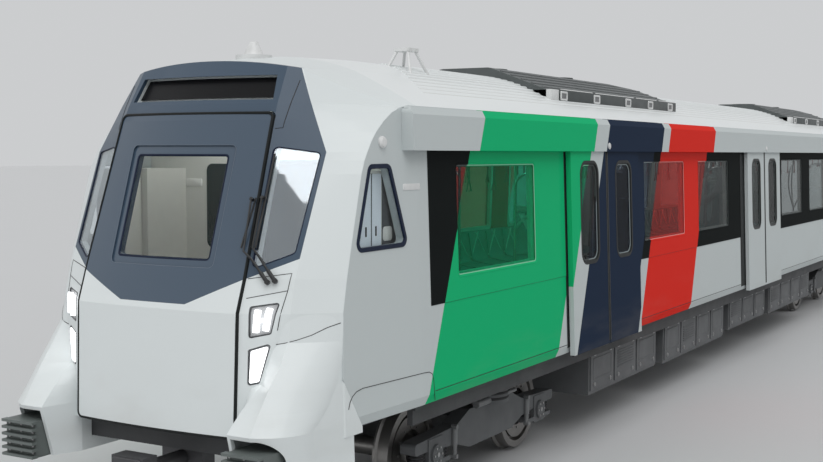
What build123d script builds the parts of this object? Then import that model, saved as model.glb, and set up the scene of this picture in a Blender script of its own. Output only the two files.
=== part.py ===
from build123d import *
import os

os.makedirs("parts", exist_ok=True)

# A metro driving car: nose towards -Y, +Z up. Right means +X, the right side seen from in front of the nose.
# Inside this script Y is the station behind the nose datum and Z the height above the rail.
# save() moves everything so that the origin is under the middle of the car, at the wheel flanges.

# Driving dimensions, mm
FRONT_TIP = -95.0            # station of the anti-climber ribs
REAR_TIP = 22705.0           # station of the gangway's face plate
MIDDLE = (FRONT_TIP + REAR_TIP) / 2
FLANGE_DEPTH = 28.0
HALF_WIDTH = 1450.0          # body side at the sill
LEAN = 0.0362                # how far the side leans in, per mm of height
SILL = 1050.0
SIDE_CREASE = 1125.0
SILL_TUCK = 26.0
FLOOR = 1100.0
GUTTER = 3400.0
WALL = 80.0
DOOR_TOP = 3050.0
BODY_END = 22400.0           # rear end wall's outer face
CAB_END = 1750.0             # station where the cab's sides start to narrow towards the nose
TAPER = 0.052                # how much they narrow, per mm of station

# Doorways
DOORWAYS = (5665.0, 12365.0, 19065.0)
LEAF_WIDTH = 985.0
LEAF_GAP = 14.0              # leaf to body side
LEAF_THICK = 50.0
LEAF_BOTTOM = 1030.0
LEAF_TOP = 3130.0
LEAF_TRAVEL = 885.0
OPENING_HALF = 880.0
NOSE_OF_LEAF = 6.0           # gap between two closed leaves

# Running gear
BOGIE_STATIONS = (3750.0, 18850.0)
HALF_WHEELBASE = 1100.0
WHEEL_RADIUS = 420.0
AXLE_HEIGHT = WHEEL_RADIUS
BACK_TO_BACK = 1360.0
TYRE_WIDTH = 135.0


# Ranges that reach past the body, for cuts
WHOLE_WIDTH = (-1700.0, 1700.0)
WHOLE_LENGTH = (-500.0, 23000.0)
THROUGH_SIDE = (1100.0, 1700.0)
BELOW = 500.0


# Helpers

def wall_x(height, proud=0.0):
    """Half width of the leaning body side at a height."""
    return HALF_WIDTH - LEAN * (height - SILL) + proud


def taper(station):
    """How far the cab's side stands in from the body side at a station."""
    return TAPER * max(0.0, CAB_END - station)


def prism(points, direction):
    """A polygon in space pushed along a direction."""
    face = Face(Wire.make_polygon([Vector(*p) for p in points]))
    return extrude(face, amount=Vector(*direction).length, dir=direction)


def along_car(points, start, end):
    """A cross-section of (x, height) points run along the car."""
    return prism([(x, start, h) for x, h in points], (0, end - start, 0))


def across_car(points, x_start, x_end):
    """A side view of (station, height) points run across the car."""
    return prism([(x_start, s, h) for s, h in points], (x_end - x_start, 0, 0))


def block(x, s, h):
    """A box from three (low, high) pairs."""
    corner = Pos(x[0], s[0], h[0])
    return corner * Box(x[1] - x[0], s[1] - s[0], h[1] - h[0], align=Align.MIN)


def rounded_across(points, radius, x_start, x_end):
    """As across_car, with the side view's corners rounded."""
    outline = Polygon(*points, align=None)
    outline = fillet(outline.vertices(), radius)
    return extrude(Plane.YZ.offset(x_start) * outline, amount=x_end - x_start)


def rounded_through_nose(points, radius, start, end):
    """A front view of (x, height) points, corners rounded, run along the car."""
    outline = Polygon(*points, align=None)
    outline = fillet(outline.vertices(), radius)
    view = Plane((0, end, 0), x_dir=(1, 0, 0), z_dir=(0, -1, 0))
    return extrude(view * outline, amount=end - start)


def mirrored(shape):
    return shape.mirror(Plane.YZ)


def both(shape):
    return [shape, mirrored(shape)]


def tube(start, end, radius):
    axis = Vector(*end) - Vector(*start)
    return extrude(Plane(origin=start, z_dir=axis) * Circle(radius), amount=axis.length)


def fuse(shapes):
    shapes = list(shapes)
    body = shapes[0]
    if len(shapes) > 1:
        body = shapes[0].fuse(*shapes[1:])
    return body


def solids_of(shapes):
    found = []
    for shape in shapes:
        found += list(shape.solids())
    return found


def save(node, *shapes):
    home = Location((0, -MIDDLE, FLANGE_DEPTH))
    pieces = [s.moved(home) for s in solids_of(shapes)]
    export_step(pieces[0] if len(pieces) == 1 else Compound(pieces), f"parts/{node}.step")


# Nose surface: level sections from the skirt up to above the roof.
# Columns: height, seam x, seam station, bow of the centre panel, corner x, corner station.
NOSE_ROWS = (
    (600.0, 760.0, 235.0, 45.0, 1092.0, 412.0),
    (1900.0, 766.0, 277.0, 45.0, 1092.0, 450.0),
    (2140.0, 766.0, 360.0, 60.0, 1092.0, 512.0),
    (3040.0, 745.0, 669.0, 95.0, 1115.0, 874.0),
    (3276.0, 737.0, 752.0, 100.0, 995.0, 920.0),
    (3400.0, 728.0, 809.0, 100.0, 932.0, 945.0),
    (3900.0, 690.0, 1090.0, 100.0, 700.0, 1095.0),
)
# The crease where the corner face meets the cab's side: straight, then an arc over to the gutter.
# Columns: height, station.
CREASE = (
    (600.0, 690.0), (1900.0, 717.0), (2140.0, 775.0), (2880.0, 994.0), (2980.0, 1038.0),
    (3040.0, 1076.0), (3120.0, 1133.0), (3190.0, 1196.0), (3276.0, 1304.0), (3343.0, 1417.0),
    (3380.0, 1530.0), (3400.0, 1641.0), (3900.0, 2330.0),
)
OUTSIDE = 1500.0
NOSE_DEPTH = 3300.0


def nose_row(height):
    """The columns of NOSE_ROWS at any height."""
    low, high = [pair for pair in zip(NOSE_ROWS, NOSE_ROWS[1:]) if pair[0][0] <= height][-1]
    share = (height - low[0]) / (high[0] - low[0])
    return [a + share * (b - a) for a, b in zip(low[1:], high[1:])]


def nose_section(height, crease_s):
    seam_x, seam_s, bow, corner_x, corner_s = nose_row(height)
    crease_x = wall_x(height) - taper(crease_s)
    outside_s = corner_s + (crease_s - corner_s) * (OUTSIDE - corner_x) / (crease_x - corner_x)
    arc = ThreePointArc((-seam_x, seam_s, height), (0, seam_s - bow, height), (seam_x, seam_s, height))
    sides = Polyline(
        (seam_x, seam_s, height), (corner_x, corner_s, height), (OUTSIDE, outside_s, height),
        (OUTSIDE, NOSE_DEPTH, height), (-OUTSIDE, NOSE_DEPTH, height), (-OUTSIDE, outside_s, height),
        (-corner_x, corner_s, height), (-seam_x, seam_s, height))
    return Wire([arc.edge()] + list(sides.edges()))


NOSE = Solid.make_loft([nose_section(*row) for row in CREASE], ruled=True)


def nose_layer(front, back, outline):
    """The skin between two depths behind the nose surface, inside a solid that runs along the car."""
    layer = NOSE.moved(Location((0, front, 0))).intersect(outline)
    return fuse(solids_of([layer])).cut(NOSE.moved(Location((0, back, 0))))


# Roof surface over the cab and the saloon.
# Columns: station, gutter height, shoulder height, crown height.
GUTTER_X = wall_x(GUTTER)
SHOULDER_X = 800.0
SALOON_ROOF = (3400.0, 3683.0, 3860.0)
CAB_ROOF_ROWS = (
    (-400.0, 3085.0, 3575.0, 3610.0),
    (1000.0, 3290.0, 3666.0, 3745.0),
    (CAB_END, 3400.0, 3690.0, 3830.0),
)
ROOF_LEVEL = 2600.0          # station from which the roof keeps its section
SHOULDER_RISE = 6.0


def roof_outline(station, gutter_h, shoulder_h, crown_h, drop=0.0, inset=0.0, base=600.0):
    """Cross-section of the body up to the roof; drop and inset shrink it for the inside."""
    gutter = (GUTTER_X - inset, station, gutter_h - drop)
    shoulder = (SHOULDER_X, station, shoulder_h - drop)
    middle = ((gutter[0] + shoulder[0]) / 2 + SHOULDER_RISE / 2, station,
              (gutter[2] + shoulder[2]) / 2 + SHOULDER_RISE)
    crown = (0, station, crown_h - drop)
    foot = (wall_x(base) - inset, station, base)

    def left(p):
        return (-p[0], p[1], p[2])

    edges = [
        ThreePointArc(gutter, middle, shoulder).edge(),
        ThreePointArc(shoulder, crown, left(shoulder)).edge(),
        ThreePointArc(left(shoulder), left(middle), left(gutter)).edge(),
    ]
    edges += list(Polyline(left(gutter), left(foot), foot, gutter).edges())
    return Wire(edges)


def cab_roof_loft(rows):
    return Solid.make_loft([roof_outline(*row, inset=taper(row[0])) for row in rows], ruled=True)


def saloon_roof_height(x):
    """Height of the saloon roof's surface at a distance from the middle."""
    gutter_h, shoulder_h, crown_h = SALOON_ROOF
    if x > SHOULDER_X:
        return gutter_h + (shoulder_h - gutter_h) * (GUTTER_X - x) / (GUTTER_X - SHOULDER_X)
    rise = crown_h - shoulder_h
    radius = (SHOULDER_X ** 2 + rise ** 2) / (2 * rise)
    return crown_h - radius + (radius ** 2 - x ** 2) ** 0.5


def saloon_prism(start, end, drop=0.0, inset=0.0, base=600.0):
    face = Face(roof_outline(start, *SALOON_ROOF, drop=drop, inset=inset, base=base))
    return extrude(face, amount=end - start, dir=(0, 1, 0))


# Outlines on the nose, front view, (x, height) for the right half
HATCH_BOTTOM = 1011.0
HATCH_TOP = 3331.0
HATCH_GAP = 8.0
HATCH_THICK = 70.0
HATCH_PROUD = 12.0
SHELL_THICK = 95.0
MASK_THICK = 40.0
HATCH_SIDE = ((757.0, HATCH_BOTTOM), (766.0, 2139.0), (732.0, HATCH_TOP))
MASK_SIDE = ((766.0, 2139.0), (1092.0, 2283.0), (1115.0, 3040.0), (799.0, 3666.0), (799.0, 3900.0))
QUARTER_PANE = ((796.0, 2211.0), (1052.0, 2322.0), (1080.0, 3034.0), (776.0, 3078.0))
WINDSCREEN = ((440.0, 2262.0), (440.0, 3024.0))
SCREEN_RECESS = ((492.0, 2206.0), (500.0, 3090.0))
RECESS_DEPTH = 14.0
DISPLAY = ((668.0, 3445.0), (636.0, 3600.0))
DISPLAY_RECESS = ((684.0, 3430.0), (652.0, 3615.0))
DISPLAY_DEPTH = 82.0
UPPER_LAMP = ((829.0, 1724.0), (975.0, 1757.0), (1020.0, 1982.0), (829.0, 1951.0))
LOWER_LAMP = ((826.0, 1389.0), (905.0, 1407.0), (978.0, 1696.0), (829.0, 1646.0))


def symmetric(points):
    """Right-hand points, then the same mirrored, as one closed outline."""
    return list(points) + [(-x, h) for x, h in reversed(points)]


def hatch_outline(gap, start, end):
    (x0, h0), (x1, h1), (x2, h2) = HATCH_SIDE
    side = [(x0 + gap, h0 - gap), (x1 + gap, h1), (x2 + gap, h2 + gap)]
    return rounded_through_nose(symmetric(side), 45.0, start, end)


NOSE_FRONT = -400.0
THROUGH = 1500.0


# Feet: the fairings that sweep forward and down over the anti-climbers.
# Columns: height, then x and station of inner corner, start of the outer curve, its middle and its end.
FOOT_ROWS = (
    (1900.0, 1000.0, 410.0, 1092.0, 456.0, 1234.0, 590.0, 1364.0, 722.0),
    (1700.0, 992.0, 400.0, 1096.0, 425.0, 1246.0, 556.0, 1366.0, 712.0),
    (1550.0, 957.0, 368.0, 1096.0, 318.0, 1262.0, 456.0, 1364.0, 692.0),
    (1400.0, 918.0, 338.0, 1090.0, 192.0, 1266.0, 345.0, 1360.0, 640.0),
    (1250.0, 899.0, 140.0, 1086.0, 84.0, 1266.0, 235.0, 1356.0, 530.0),
    (1170.0, 889.0, 52.0, 1084.0, 28.0, 1262.0, 165.0, 1350.0, 440.0),
    (1108.0, 884.0, -12.0, 1082.0, -16.0, 1256.0, 105.0, 1344.0, 350.0),
    (720.0, 878.0, 100.0, 1082.0, 92.0, 1254.0, 200.0, 1340.0, 430.0),
)
FOOT_INNER = (800.0, 320.0)
FOOT_BACK = 800.0
FOOT_LIP = 1080.0


def foot_section(row):
    height, inner_x, inner_s, front_x, front_s, bend_x, bend_s, side_x, side_s = row
    back_x = wall_x(height) - taper(FOOT_BACK) - 4.0
    inner_back = (*FOOT_INNER, height)
    curve = ThreePointArc((front_x, front_s, height), (bend_x, bend_s, height), (side_x, side_s, height))
    lead = Polyline(inner_back, (inner_x, inner_s, height), (front_x, front_s, height))
    back = Polyline((side_x, side_s, height), (back_x, FOOT_BACK, height),
                    (FOOT_INNER[0], FOOT_BACK, height), inner_back)
    return Wire(list(lead.edges()) + [curve.edge()] + list(back.edges()))


FOOT = Solid.make_loft([foot_section(row) for row in FOOT_ROWS], ruled=True)
FOOT_TOP = FOOT_ROWS[0][0]
# The arch in each foot that the anti-climber stands in
POCKET_X = (FOOT_ROWS[-1][1] + 30.0, 1262.0)
POCKET_CORNER = 150.0
POCKET_BACK = 720.0
pocket_bottom = BELOW - 2 * POCKET_CORNER
pocket_view = [(POCKET_X[0], pocket_bottom), (POCKET_X[1], pocket_bottom), (POCKET_X[1], FOOT_LIP),
               (POCKET_X[0], FOOT_LIP)]
FOOT_POCKET = fuse([
    rounded_through_nose(pocket_view, POCKET_CORNER, NOSE_FRONT, POCKET_BACK),
    block((POCKET_X[0], POCKET_X[1] - POCKET_CORNER), (NOSE_FRONT, POCKET_BACK), (BELOW, FOOT_LIP))])
# Each foot is a skin: its own shape moved back and down is taken out of it
hollow_room = block((FOOT_INNER[0] + 40.0, 1330.0), (NOSE_FRONT, FOOT_BACK - 10.0), (BELOW, FOOT_TOP - 20.0))
hollow = FOOT.moved(Location((0, 45.0, -30.0))).intersect(hollow_room)
FOOT_HOLLOW = fuse(solids_of([hollow]))

# Side zone: the part of the side view that the side walls take over from the nose
SIDE_FRONT = [(905.0, SILL), (690.0, 1420.0)] + [(station, height) for height, station in CREASE[1:-1]]

# Cab shell
CAB_SOLID = NOSE.intersect(cab_roof_loft(CAB_ROOF_ROWS))
CAB_SOLID = fuse(solids_of([CAB_SOLID]))


ROOM_SHOULDER = (760.0, 3600.0)
ROOM_SIDE_TOP = 3300.0
ROOM_END = CAB_END + 20.0


def room_outline(station, drop, inset, bottom):
    low_x = wall_x(bottom) - taper(station) - inset
    high_x = wall_x(ROOM_SIDE_TOP) - taper(station) - inset
    half = [(low_x, bottom), (high_x, ROOM_SIDE_TOP), (ROOM_SHOULDER[0], ROOM_SHOULDER[1] - drop)]
    return Wire.make_polygon([Vector(x, station, h) for x, h in symmetric(half)])


def cab_room(shift, drop, inset, bottom):
    """The hollow of the cab."""
    room = Solid.make_loft([room_outline(s, drop, inset, bottom) for s in (NOSE_FRONT, CAB_END, ROOM_END)],
                           ruled=True)
    return fuse(solids_of([room.intersect(NOSE.moved(Location((0, shift, 0))))]))


CAB_FLOOR_HALF = 1280.0
FLOOR_FRONT = 430.0
FLOOR_UNDERSIDE = 1000.0
HEADSTOCK_BOTTOM = 820.0
SHELL_BOTTOM = 1005.0
CAB_ROOF_THICK = 40.0


def build_cab_shell():
    room = cab_room(SHELL_THICK, CAB_ROOF_THICK, WALL, FLOOR)
    shell = CAB_SOLID.cut(room)
    shell = shell.cut(block(WHOLE_WIDTH, WHOLE_LENGTH, (BELOW, SHELL_BOTTOM)))
    foot = FOOT.cut(FOOT_HOLLOW, FOOT_POCKET, room)
    shell = shell.fuse(*both(foot))
    floor_room = CAB_FLOOR_HALF + 5.0
    shell = shell.cut(block((-floor_room, floor_room), (FLOOR_FRONT - 8.0, ROOM_END),
                            (HEADSTOCK_BOTTOM - 5.0, FLOOR)))
    below_sill = SILL - 60.0
    side_zone = SIDE_FRONT + [(NOSE_DEPTH, GUTTER), (NOSE_DEPTH, below_sill), (SIDE_FRONT[0][0], below_sill)]
    for zone in both(across_car(side_zone, *THROUGH_SIDE)):
        shell = shell.cut(zone)
    shell = shell.cut(hatch_outline(HATCH_GAP, NOSE_FRONT, THROUGH))
    mask_outline = along_car(symmetric(MASK_SIDE), NOSE_FRONT, THROUGH)
    shell = shell.cut(nose_layer(-HATCH_PROUD, MASK_THICK, mask_outline))
    shell = shell.cut(*both(rounded_through_nose(QUARTER_PANE, PANE_CORNER, NOSE_FRONT, THROUGH)))
    for lamp in (UPPER_LAMP, LOWER_LAMP):
        shell = shell.cut(*both(nose_layer(-HATCH_PROUD, LAMP_DEPTH, lamp_outline(lamp))))
    display = along_car(symmetric(DISPLAY_RECESS), NOSE_FRONT, THROUGH)
    return shell.cut(nose_layer(-HATCH_PROUD, DISPLAY_DEPTH, display))


def lamp_outline(points):
    return rounded_through_nose(points, LAMP_CORNER, NOSE_FRONT, THROUGH)


def build_cab_mask():
    mask = nose_layer(0.0, MASK_THICK, along_car(symmetric(MASK_SIDE), NOSE_FRONT, THROUGH))
    mask = mask.intersect(cab_roof_loft(CAB_ROOF_ROWS))
    mask = fuse(solids_of([mask]))
    mask = mask.cut(hatch_outline(HATCH_GAP, NOSE_FRONT, THROUGH))
    mask = mask.cut(*both(rounded_through_nose(QUARTER_PANE, PANE_CORNER, NOSE_FRONT, THROUGH)))
    display = along_car(symmetric(DISPLAY_RECESS), NOSE_FRONT, THROUGH)
    return mask.cut(display)


# Panes and lamps: depth of their face behind the nose surface, thickness, rounding of their corners
PANE_SINK = 6.0
PANE_THICK = 12.0
PANE_CORNER = 30.0
LAMP_CORNER = 18.0
LAMP_SINK = 8.0
LAMP_DEPTH = 60.0
save("cab_shell", build_cab_shell())
save("cab_mask", build_cab_mask())

hatch = nose_layer(-HATCH_PROUD, HATCH_THICK, hatch_outline(0.0, NOSE_FRONT, THROUGH))
screen = rounded_through_nose(symmetric(WINDSCREEN), 30.0, NOSE_FRONT, THROUGH)
recess = rounded_through_nose(symmetric(SCREEN_RECESS), 40.0, NOSE_FRONT, THROUGH)
recess = nose_layer(-HATCH_PROUD - 10.0, RECESS_DEPTH - HATCH_PROUD, recess)
save("nose_hatch", hatch.cut(screen, recess))
save("windscreen", nose_layer(PANE_SINK, PANE_SINK + PANE_THICK, screen))

quarter_panes = both(nose_layer(PANE_SINK, PANE_SINK + PANE_THICK,
                                rounded_through_nose(QUARTER_PANE, PANE_CORNER, NOSE_FRONT, THROUGH)))

display_outline = along_car(symmetric(DISPLAY), NOSE_FRONT, THROUGH)
save("destination_display", nose_layer(DISPLAY_DEPTH - 22.0, DISPLAY_DEPTH, display_outline))

lamps = []
for lamp in (UPPER_LAMP, LOWER_LAMP):
    lamps += both(nose_layer(LAMP_SINK, LAMP_DEPTH, lamp_outline(lamp)))
save("headlamps", *lamps)

# Anti-climbers
RIB_COUNT = 6
RIB_PITCH = 52.0
RIB_THICK = 20.0
RIB_BOTTOM = 724.0
CLIMBER_X = (915.0, 1225.0)
CLIMBER_FACE = -45.0
CLIMBER_BACK = 400.0
climber = block(CLIMBER_X, (CLIMBER_FACE, CLIMBER_BACK), (RIB_BOTTOM - 2.0, FLOOR_UNDERSIDE))
for number in range(RIB_COUNT):
    rib_bottom = RIB_BOTTOM + number * RIB_PITCH
    climber = climber.fuse(block((CLIMBER_X[0] - 15.0, CLIMBER_X[1]), (FRONT_TIP, CLIMBER_FACE + 5.0),
                                 (rib_bottom, rib_bottom + RIB_THICK)))
save("anticlimbers", *both(climber))

# Side walls: one leaning slab per side with its doorways and windows cut
TRIANGLE_WINDOW = ((912.0, 2337.0), (1548.0, 2345.0), (1345.0, 2928.0), (1100.0, 2925.0))
# Columns: first station, last station of each saloon window
WINDOWS = ((2370.0, 3960.0), (6990.0, 8540.0), (9100.0, 10560.0),
           (13690.0, 15240.0), (15800.0, 17260.0), (20400.0, 21700.0))
WINDOW_BOTTOM = 2015.0
WINDOW_TOP = 2950.0
WINDOW_CORNER = 45.0
TRIANGLE_CORNER = 40.0
BANDS = ((1900.0, 4770.0), (6560.0, 11470.0), (13260.0, 18170.0), (19960.0, 22150.0))
BAND_BOTTOM = 1826.0
BAND_PROUD = 4.0


def side_slab(inner, outer, start, end, bottom, top):
    return along_car([(wall_x(bottom, inner), bottom), (wall_x(bottom, outer), bottom),
                      (wall_x(top, outer), top), (wall_x(top, inner), top)], start, end)


def window_cutter(start, end, bottom=WINDOW_BOTTOM, top=WINDOW_TOP, radius=WINDOW_CORNER):
    points = ((start, bottom), (end, bottom), (end, top), (start, top))
    return rounded_across(points, radius, *THROUGH_SIDE)


SIDE_TIP = 400.0


def tapered_front(profile):
    """The stretch of a body side along the cab, from its (x, height) profile."""
    sections = []
    for s in (SIDE_TIP, CAB_END):
        sections.append(Wire.make_polygon([Vector(x - taper(s), s, h) for x, h in profile]))
    return Solid.make_loft(sections, ruled=True)


def build_side_wall():
    profile = [(wall_x(SILL, -WALL), SILL), (wall_x(SILL, -SILL_TUCK), SILL),
               (wall_x(SIDE_CREASE), SIDE_CREASE), (wall_x(GUTTER), GUTTER), (wall_x(GUTTER, -WALL), GUTTER)]
    slab = along_car(profile, CAB_END, BODY_END).fuse(tapered_front(profile))
    zone = across_car(SIDE_FRONT + [(BODY_END, GUTTER), (BODY_END, SILL)], *THROUGH_SIDE)
    slab = fuse(solids_of([slab.intersect(zone)]))
    cuts = [rounded_across(TRIANGLE_WINDOW, TRIANGLE_CORNER, *THROUGH_SIDE)]
    cuts += [window_cutter(*w) for w in WINDOWS]
    for centre in DOORWAYS:
        doorway = (centre - OPENING_HALF, centre + OPENING_HALF)
        cuts.append(block(THROUGH_SIDE, doorway, (SILL - 150.0, DOOR_TOP)))
    return slab.cut(*cuts)


side_wall = build_side_wall()
save("side_wall_right", side_wall)
save("side_wall_left", mirrored(side_wall))

bands = []
for start, end in BANDS:
    band = side_slab(0.0, BAND_PROUD, start, end, BAND_BOTTOM, DOOR_TOP + 30.0)
    inside = [window_cutter(*w) for w in WINDOWS if start < w[0] < end]
    bands.append(band.cut(*inside))
save("window_bands", *bands, *[mirrored(b) for b in bands])

PANE_BACK = -22.0
PANE_FRONT = -8.0
panes = []
for start, end in WINDOWS:
    pane = side_slab(PANE_BACK, PANE_FRONT, start, end, WINDOW_BOTTOM, WINDOW_TOP)
    panes.append(fuse(solids_of([pane.intersect(window_cutter(start, end))])))
triangle = tapered_front([(wall_x(h, depth), h) for h, depth in (
    (SILL, PANE_BACK), (SILL, PANE_FRONT), (GUTTER, PANE_FRONT), (GUTTER, PANE_BACK))])
triangle = triangle.intersect(rounded_across(TRIANGLE_WINDOW, TRIANGLE_CORNER, *THROUGH_SIDE))
triangle = fuse(solids_of([triangle]))
save("side_glazing", *panes, *[mirrored(p) for p in panes])
save("cab_glazing", *quarter_panes, *both(triangle))

# Cantrail covers: the long channels that hide the door drives
COVER_FRONT = 1535.0
COVER_BOTTOM = 3055.0
COVER_TOP = 3392.0
COVER_OUT = 96.0
COVER_SKIN = 14.0
COVER_BEND = COVER_TOP - 60.0
COVER_LIP = COVER_TOP - COVER_SKIN
COVER_CORNER = 55.0
inner_face = COVER_OUT - COVER_SKIN
# The cover's skin from its lower edge up and over to the gutter, then back down its inner face
cover = along_car([
    (wall_x(COVER_BOTTOM, inner_face), COVER_BOTTOM), (wall_x(COVER_BOTTOM, COVER_OUT), COVER_BOTTOM),
    (wall_x(COVER_BEND, COVER_OUT), COVER_BEND), (wall_x(COVER_TOP, COVER_OUT - 40.0), COVER_TOP),
    (wall_x(COVER_TOP), COVER_TOP), (wall_x(COVER_LIP), COVER_LIP),
    (wall_x(COVER_LIP, inner_face - 40.0), COVER_LIP), (wall_x(COVER_BEND, inner_face), COVER_BEND),
], COVER_FRONT, BODY_END)
plate_in = 0.5 - taper(COVER_FRONT + COVER_SKIN)
end_plate = along_car([
    (wall_x(COVER_BOTTOM, plate_in), COVER_BOTTOM), (wall_x(COVER_BOTTOM, COVER_OUT), COVER_BOTTOM),
    (wall_x(COVER_BEND, COVER_OUT), COVER_BEND), (wall_x(COVER_TOP, COVER_OUT - 40.0), COVER_TOP),
    (wall_x(COVER_TOP, plate_in), COVER_TOP)], COVER_FRONT, COVER_FRONT + COVER_SKIN)
view_bottom = COVER_BOTTOM - COVER_CORNER
view_end = BODY_END + COVER_CORNER
cover_view = ((COVER_FRONT, view_bottom), (view_end, view_bottom),
              (view_end, COVER_TOP + 1.0), (COVER_FRONT, COVER_TOP + 1.0))
cover = cover.fuse(end_plate).intersect(rounded_across(cover_view, COVER_CORNER - 1.0, *THROUGH_SIDE))
save("cantrail_covers", *both(fuse(solids_of([cover]))))

# Door leaves and their panes
LEAF_PANE_MARGIN = 262.0
LEAF_PANE_BOTTOM = 1935.0
LEAF_PANE_TOP = 2935.0
LEAF_PANE_CORNER = 60.0
SIDES = (("right", 1), ("left", -1))
for side_name, sign in SIDES:
    for number, centre in enumerate(DOORWAYS, start=1):
        for leaf_name, start in (("front", centre - LEAF_WIDTH), ("rear", centre + NOSE_OF_LEAF)):
            end = start + LEAF_WIDTH - (NOSE_OF_LEAF if leaf_name == "front" else 0.0)
            leaf = side_slab(LEAF_GAP, LEAF_GAP + LEAF_THICK, start, end, LEAF_BOTTOM, LEAF_TOP)
            hole = window_cutter(start + LEAF_PANE_MARGIN, end - LEAF_PANE_MARGIN,
                                 LEAF_PANE_BOTTOM, LEAF_PANE_TOP, LEAF_PANE_CORNER)
            pane = side_slab(LEAF_GAP + 20.0, LEAF_GAP + 34.0, start, end, LEAF_BOTTOM, LEAF_TOP)
            pane = fuse(solids_of([pane.intersect(hole)]))
            leaf = leaf.cut(hole)
            if sign < 0:
                leaf, pane = mirrored(leaf), mirrored(pane)
            save(f"door_{side_name}_{number}_{leaf_name}", leaf)
            save(f"door_pane_{side_name}_{number}_{leaf_name}", pane)

# Saloon roof with its flutes
FLUTE_COUNT = 14
FLUTE_OUTER = 1100.0
FLUTE_PITCH = 75.0
FLUTE_HALF = 11.0
FLUTE_RISE = 11.0
FLUTE_START = 2320.0
FLUTE_STEP = 70.0            # each flute further in starts this much further back


def roof_body(drop=0.0, inset=0.0, margin=0.0):
    """The fluted roof's solid, or with a drop and an inset its hollow."""
    front = [roof_outline(CAB_END - margin, *CAB_ROOF_ROWS[-1][1:], drop=drop, inset=inset),
             roof_outline(ROOF_LEVEL, *SALOON_ROOF, drop=drop, inset=inset)]
    return Solid.make_loft(front, ruled=True).fuse(
        saloon_prism(ROOF_LEVEL, BODY_END + margin, drop=drop, inset=inset))


def flute(number):
    x = FLUTE_OUTER - number * FLUTE_PITCH
    inner, outer = x - FLUTE_HALF, x + FLUTE_HALF
    inner_h, outer_h = saloon_roof_height(inner), saloon_roof_height(outer)
    narrow = FLUTE_HALF / 2
    outline = [(inner, inner_h - FLUTE_RISE), (outer, outer_h - FLUTE_RISE),
               (outer - narrow, outer_h + FLUTE_RISE), (inner + narrow, inner_h + FLUTE_RISE)]
    return along_car(outline, FLUTE_START + number * FLUTE_STEP, BODY_END - 100.0)


ROOF_THICK = 55.0
roof = roof_body().cut(roof_body(drop=ROOF_THICK, inset=WALL, margin=50.0))
roof = roof.cut(block(WHOLE_WIDTH, WHOLE_LENGTH, (BELOW, GUTTER)))
roof = fuse(solids_of([roof]))
flutes = []
for number in range(FLUTE_COUNT):
    flutes += both(flute(number))
save("roof_shell", roof.fuse(*flutes))

CEILING = 3230.0
CEILING_THICK = 25.0
ceiling_half = wall_x(CEILING) - WALL - 5.0
save("ceiling", block((-ceiling_half, ceiling_half), (CAB_END + 60.0, BODY_END - 90.0),
                      (CEILING, CEILING + CEILING_THICK)))

# Underframe: floor, solebars, headstocks and bolsters
FLOOR_HALF = 1365.0
BEAM_HALF = 1250.0
SOLEBAR_X = (1290.0, 1340.0)
SOLEBAR_BOTTOM = 880.0
BOLSTER_BOTTOM = 900.0
BOLSTER_HALF = 260.0
floor = block((-FLOOR_HALF, FLOOR_HALF), (CAB_END, BODY_END), (FLOOR_UNDERSIDE, FLOOR))
cab_floor = block((-CAB_FLOOR_HALF, CAB_FLOOR_HALF), (FLOOR_FRONT, CAB_END), (FLOOR_UNDERSIDE, FLOOR))
solebars = both(block(SOLEBAR_X, (CAB_END, BODY_END - 60.0), (SOLEBAR_BOTTOM, FLOOR_UNDERSIDE)))
headstocks = [block((-BEAM_HALF, BEAM_HALF), ends, (HEADSTOCK_BOTTOM, FLOOR_UNDERSIDE))
              for ends in ((FLOOR_FRONT, FLOOR_FRONT + 130.0), (BODY_END - 160.0, BODY_END))]
bolsters = [block((-BEAM_HALF, BEAM_HALF), (s - BOLSTER_HALF, s + BOLSTER_HALF),
                  (BOLSTER_BOTTOM, FLOOR_UNDERSIDE)) for s in BOGIE_STATIONS]
PIVOT_RADIUS = 70.0
PIVOT_BOTTOM = 510.0
pivots = [tube((0, s, PIVOT_BOTTOM), (0, s, BOLSTER_BOTTOM + 10.0), PIVOT_RADIUS) for s in BOGIE_STATIONS]
save("underframe", fuse([floor, cab_floor] + solebars + headstocks + bolsters + pivots))

# Rear end wall with the gangway
GANGWAY_HALF = 700.0
GANGWAY_TOP = 3120.0
end_wall = saloon_prism(BODY_END - WALL, BODY_END, drop=ROOF_THICK + 1.0, inset=WALL + 1.0)
end_wall = end_wall.cut(block(WHOLE_WIDTH, WHOLE_LENGTH, (BELOW, FLOOR)),
                        block((-GANGWAY_HALF, GANGWAY_HALF), WHOLE_LENGTH, (FLOOR, GANGWAY_TOP)))
save("rear_end_wall", fuse(solids_of([end_wall])))

BELLOWS_FOLDS = 6
FOLD = 40.0
FOLD_DEPTHS = (100.0, 70.0)  # how far the folds stand out from the passage, in turn
FACE_PLATE = 110.0           # and the plate at their end
gangway = []
for number in range(BELLOWS_FOLDS):
    s = BODY_END + number * FOLD
    depth = FOLD_DEPTHS[number % 2]
    gangway.append(block((-GANGWAY_HALF - depth, GANGWAY_HALF + depth), (s, s + FOLD),
                         (FLOOR - 60.0, GANGWAY_TOP + depth)))
gangway.append(block((-GANGWAY_HALF - FACE_PLATE, GANGWAY_HALF + FACE_PLATE),
                     (BODY_END + BELLOWS_FOLDS * FOLD, REAR_TIP), (FLOOR - 80.0, GANGWAY_TOP + FACE_PLATE)))
gangway = fuse(gangway).cut(block((-GANGWAY_HALF, GANGWAY_HALF), WHOLE_LENGTH, (FLOOR, GANGWAY_TOP)))
save("gangway", gangway)

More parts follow.
